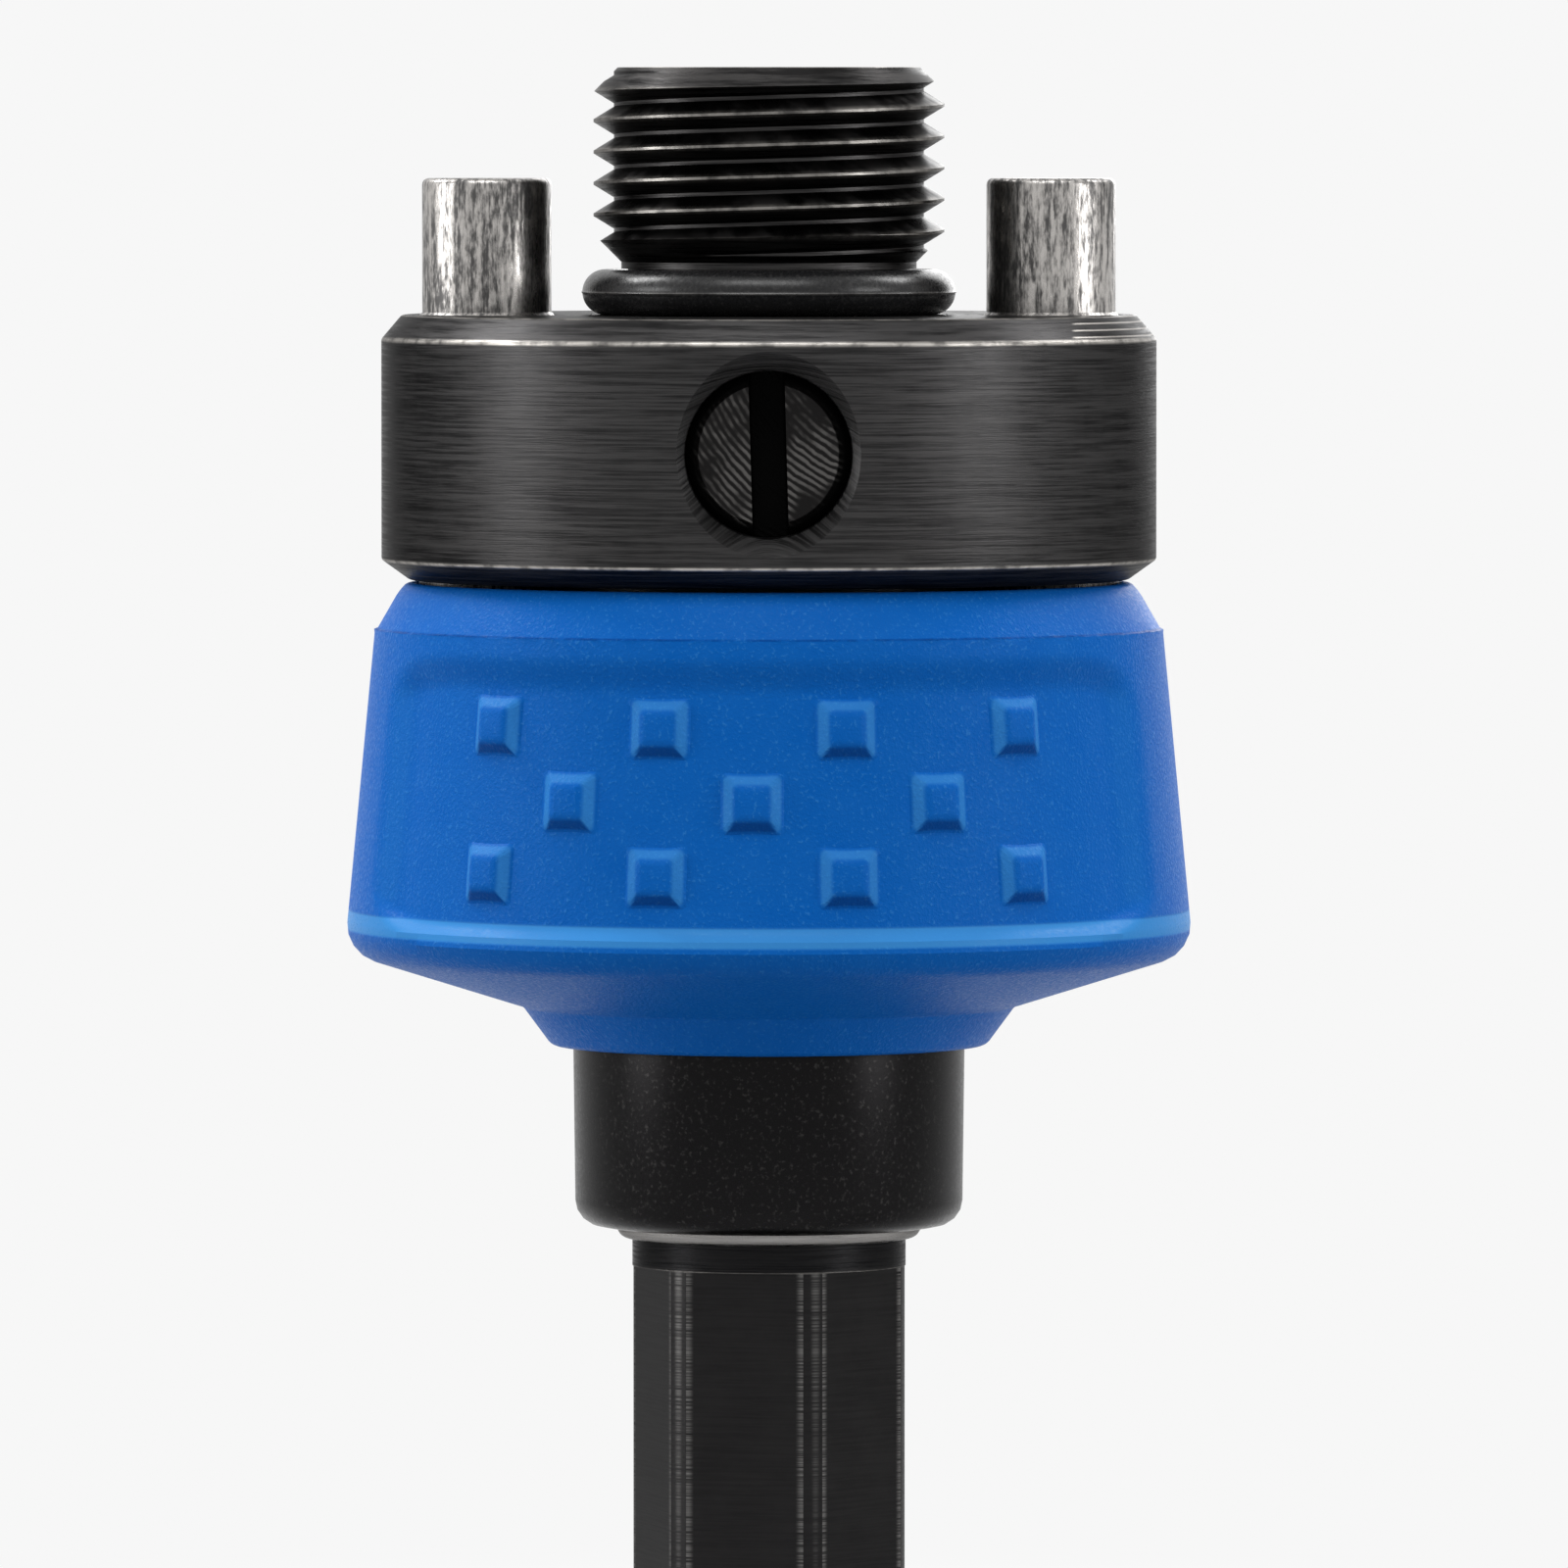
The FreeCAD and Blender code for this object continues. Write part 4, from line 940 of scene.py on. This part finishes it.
def bluePlasticMaterial():
    s, f = gripCollarSizes, bluePlasticFinish
    material, tree, shader = startMaterial("bluePlastic", f["deep"], 0.5)
    shader.inputs["IOR"].default_value = 1.2
    shader.inputs["Specular IOR Level"].default_value = 0.15
    fine = useGroup(tree, speckle, Size=f["grain"])
    broad = useGroup(tree, speckle, Size=f["clouds"])
    spot = useGroup(tree, roundPlace)
    grains = calculate(tree, "MULTIPLY_ADD", fine["Dots"], 0.22, times(tree, broad["Grain"], 0.08))
    colour = mixColours(tree, grains, f["deep"], f["pale"])
    polishAndSheen = onPolishAndSheen(tree, spot)
    # Painted highlight: the pale colour along the recess's lower edge
    colour = mixColours(tree, times(tree, polishAndSheen, f["paintedSheenShare"]), colour, f["pale"])
    # Painted light on the pyramids: a painted highlight on their upper and side slopes and painted shade on
    # their lower ones
    slopes = onDotSlopes(tree, spot)
    facing = separate(tree, addNode(tree, "TexCoord").outputs["Normal"])[2]
    paintedLitSlopes = times(tree, slopes, fade(tree, facing, -0.35, -0.1), f["lightShare"])
    paintedShadedSlopes = times(tree, slopes, fade(tree, facing, -0.35, -0.1, 1.0, 0.0), f["shadeShare"])
    colour = mixColours(tree, paintedLitSlopes, colour, f["pale"])
    colour = mixColours(tree, paintedShadedSlopes, colour, f["shade"])
    seamLevel = s["lip"] + s["stepHeight"] + 0.04
    seam = useGroup(tree, bandWear, Value=spot["Height"], Level=seamLevel, Width=f["seamWidth"])["Wear"]
    tree.links.new(mixColours(tree, times(tree, seam, f["seamShare"]), colour, f["shade"]),
                   shader.inputs["Base Color"])
    rough = fade(tree, fine["Grain"], 0.3, 0.7, 0.52, 0.30)
    tree.links.new(calculate(tree, "MULTIPLY_ADD", polishAndSheen, -0.06, rough), shader.inputs["Roughness"])
    addBump(tree, shader, times(tree, fine["Grain"], fade(tree, polishAndSheen, 0.0, 1.0, 1.0, 0.2)), 0.04)
    return material


gripCollar = makeGripCollar()
giveMaterial(gripCollar, bluePlasticMaterial())
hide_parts("grip_collar")
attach(gripCollar, "collar")
print("grip collar moulded")


# CAD nodes whose shape is right keep it and get a finish

blackSteelFinish = {
    "dark": (0.012, 0.0117, 0.012), "light": (0.042, 0.0405, 0.040), "tick": (0.2, 0.195, 0.19, 1),
    "shank": (0.006, 0.006, 0.0065, 1), "shankRadius": 6.17, "flatsTop": 30.7, "shankTop": 34.0,
    "crest": 7.9, "noseTop": 84.68, "noseEdge": 6.60, "facesFrom": 50.0, "tickShare": 0.55,
}


def spindleMaterial():
    f = blackSteelFinish
    # Pale lines at the thread's crests, the nose's top edge and the flats' top edge: worn black, and partly
    # painted highlights on sharp edges
    edges = [("Radius", f["crest"], 0.3, 0), ("Height", f["noseTop"], 0.05, f["noseEdge"]),
             ("Height", f["flatsTop"], 0.06, 0)]
    material = turnedSteel("blackSteel", f["dark"], f["light"], edges, roughness=(0.27, 0.42), spacing=0.12,
                           length=5.0, wearAndGlint=0.3, facesFrom=f["facesFrom"], calmBelow=f["flatsTop"],
                           edgeTint=0.56)
    tree = material.node_tree
    shader = tree.nodes["Principled BSDF"]
    spot = useGroup(tree, roundPlace)
    # The shank is a deeper black than the nose
    depth = fade(tree, spot["Height"], f["flatsTop"], f["flatsTop"] + 0.2, 0.6, 0.85)
    onShank = fade(tree, spot["Height"], f["shankTop"] - 0.1, f["shankTop"], 1.0, 0.0)
    addColour(tree, shader, times(tree, onShank, depth), f["shank"])
    # The cutter left pale ticks where each flat meets the round corners, and the pale line there is also a
    # painted highlight along those corners
    corner = between(tree, spot["Radius"], f["shankRadius"] - 0.16, f["shankRadius"] - 0.04,
                     f["shankRadius"] - 0.012, f["shankRadius"] - 0.002)
    onFlats = fade(tree, spot["Height"], f["flatsTop"], f["flatsTop"] + 0.05, 1.0, 0.0)
    ticks = useGroup(tree, turnedLines, Spacing=0.09, Length=30.0, FacesFrom=f["facesFrom"])["Lines"]
    addColour(tree, shader, times(tree, corner, onFlats, ticks, f["tickShare"]), f["tick"])
    return material


def plainSteelMaterial(name, colour, roughness, spacing):
    light = tuple(min(1.0, part * 1.35) for part in colour)
    return turnedSteel(name, colour, light, [], roughness=roughness, spacing=spacing, length=2.0)


def dress(node, material):
    giveMaterial(frame["nodes"][node], material)


dress("spindle", spindleMaterial())
dress("sleeve_retaining_ring", plainSteelMaterial("ringSteel", (0.16, 0.155, 0.15), (0.25, 0.4), 0.1))
giveMaterial(returnSpring, plainSteelMaterial("springSteel", (0.30, 0.30, 0.31), (0.25, 0.4), 0.3))
carrierSteel = plainSteelMaterial("carrierSteel", (0.42, 0.42, 0.42), (0.28, 0.42), 0.25)
dress("pin_carrier", carrierSteel)
for number in range(1, 5):
    dress(f"carrier_screw_{number}", carrierSteel)
print("CAD nodes dressed")


# Floor, lights and camera

stageSizes = {"floor": 12.0, "nearShadow": 0.10, "farWhite": 0.20, "white": 0.93}
stageColours = {"seen": (0.82, 0.82, 0.82, 1), "thrownBack": (0.3, 0.3, 0.3, 1), "white": (1, 1, 1, 1)}
softboxes = (
    ("leftSoftbox", (-0.90, -0.17, 0.25), 0.34, 0.44, 3.6),
    ("rightSoftbox", (0.84, -0.38, 0.25), 0.28, 0.44, 3.2),
    ("topSoftbox", (-0.05, -0.50, 0.90), 0.7, 0.4, 5.2),
    ("highLeftSoftbox", (-0.62, 0.32, 0.72), 0.3, 0.3, 5.0),
    ("highRightSoftbox", (0.62, 0.34, 0.70), 0.3, 0.3, 3.4),
    ("backSoftbox", (0.25, 0.88, 0.30), 0.5, 0.44, 2.0),
)
lampTarget = (0, 0, 0.055)
cameraSizes = {
    "spot": (0.00068, -0.7494, 0.08355), "target": (0.00068, 0, 0.0524), "nearest": 0.01,
    "sensor": 36, "lens": 382,  # millimetres
}


def seenDirectly(tree):
    path = addNode(tree, "LightPath").outputs
    seen = calculate(tree, "MAXIMUM", path["Is Camera Ray"], path["Is Glossy Ray"])
    return calculate(tree, "MAXIMUM", seen, path["Is Transmission Ray"])


def makeFloor():
    s, c = stageSizes, stageColours
    clearSelection()
    bpy.ops.mesh.primitive_circle_add(vertices=96, radius=s["floor"], fill_type="NGON")
    floor = bpy.context.object
    floor.name = "floor"
    material, tree, shader = startMaterial("paleFloor", c["seen"], 0.8)
    distance = addNode(tree, "VectorMath", {0: objectSpot(tree)}, operation="LENGTH").outputs["Value"]
    seen = seenDirectly(tree)
    far = fade(tree, distance, s["nearShadow"], s["farWhite"])
    # Light thrown back up at the arbor comes off a grey floor, so its underside stays dark
    tree.links.new(mixColours(tree, seen, c["thrownBack"], c["seen"]), shader.inputs["Base Color"])
    glow = addNode(tree, "Emission", {"Color": c["white"], "Strength": s["white"]})
    mix = addNode(tree, "MixShader", {0: times(tree, far, seen), 1: shader.outputs[0], 2: glow.outputs[0]})
    tree.links.new(mix.outputs[0], tree.nodes["Material Output"].inputs["Surface"])
    floor.data.materials.append(material)


def makeWorld():
    world = bpy.data.worlds.new("studio")
    bpy.context.scene.world = world
    world.use_nodes = True
    tree = world.node_tree
    background = tree.nodes["Background"]
    background.inputs["Color"].default_value = stageColours["white"]
    level = fade(tree, seenDirectly(tree), 0, 1, 0.32, stageSizes["white"])
    tree.links.new(level, background.inputs["Strength"])


def aim(thing, target):
    back = [here - there for here, there in zip(thing.location, target)]
    flat = math.hypot(back[0], back[1])
    thing.rotation_euler = (math.atan2(flat, back[2]), 0, math.atan2(back[0], -back[1]))


def makeLamp(name, spot, width, height, power):
    clearSelection()
    bpy.ops.object.light_add(type="AREA", location=spot)
    lamp = bpy.context.object
    lamp.name = name
    lamp.data.shape = "RECTANGLE"
    lamp.data.size, lamp.data.size_y = width, height
    lamp.data.energy = power
    lamp.visible_camera = False
    aim(lamp, lampTarget)


def makeCamera():
    clearSelection()
    bpy.ops.object.camera_add(location=cameraSizes["spot"])
    camera = bpy.context.object
    camera.data.sensor_width = cameraSizes["sensor"]
    camera.data.lens = cameraSizes["lens"]
    camera.data.clip_start = cameraSizes["nearest"]
    aim(camera, cameraSizes["target"])
    bpy.context.scene.camera = camera


makeFloor()
makeWorld()
for softbox in softboxes:
    makeLamp(*softbox)
makeCamera()
bpy.context.scene.view_settings.view_transform = "Standard"
print("stage, lights and camera set")
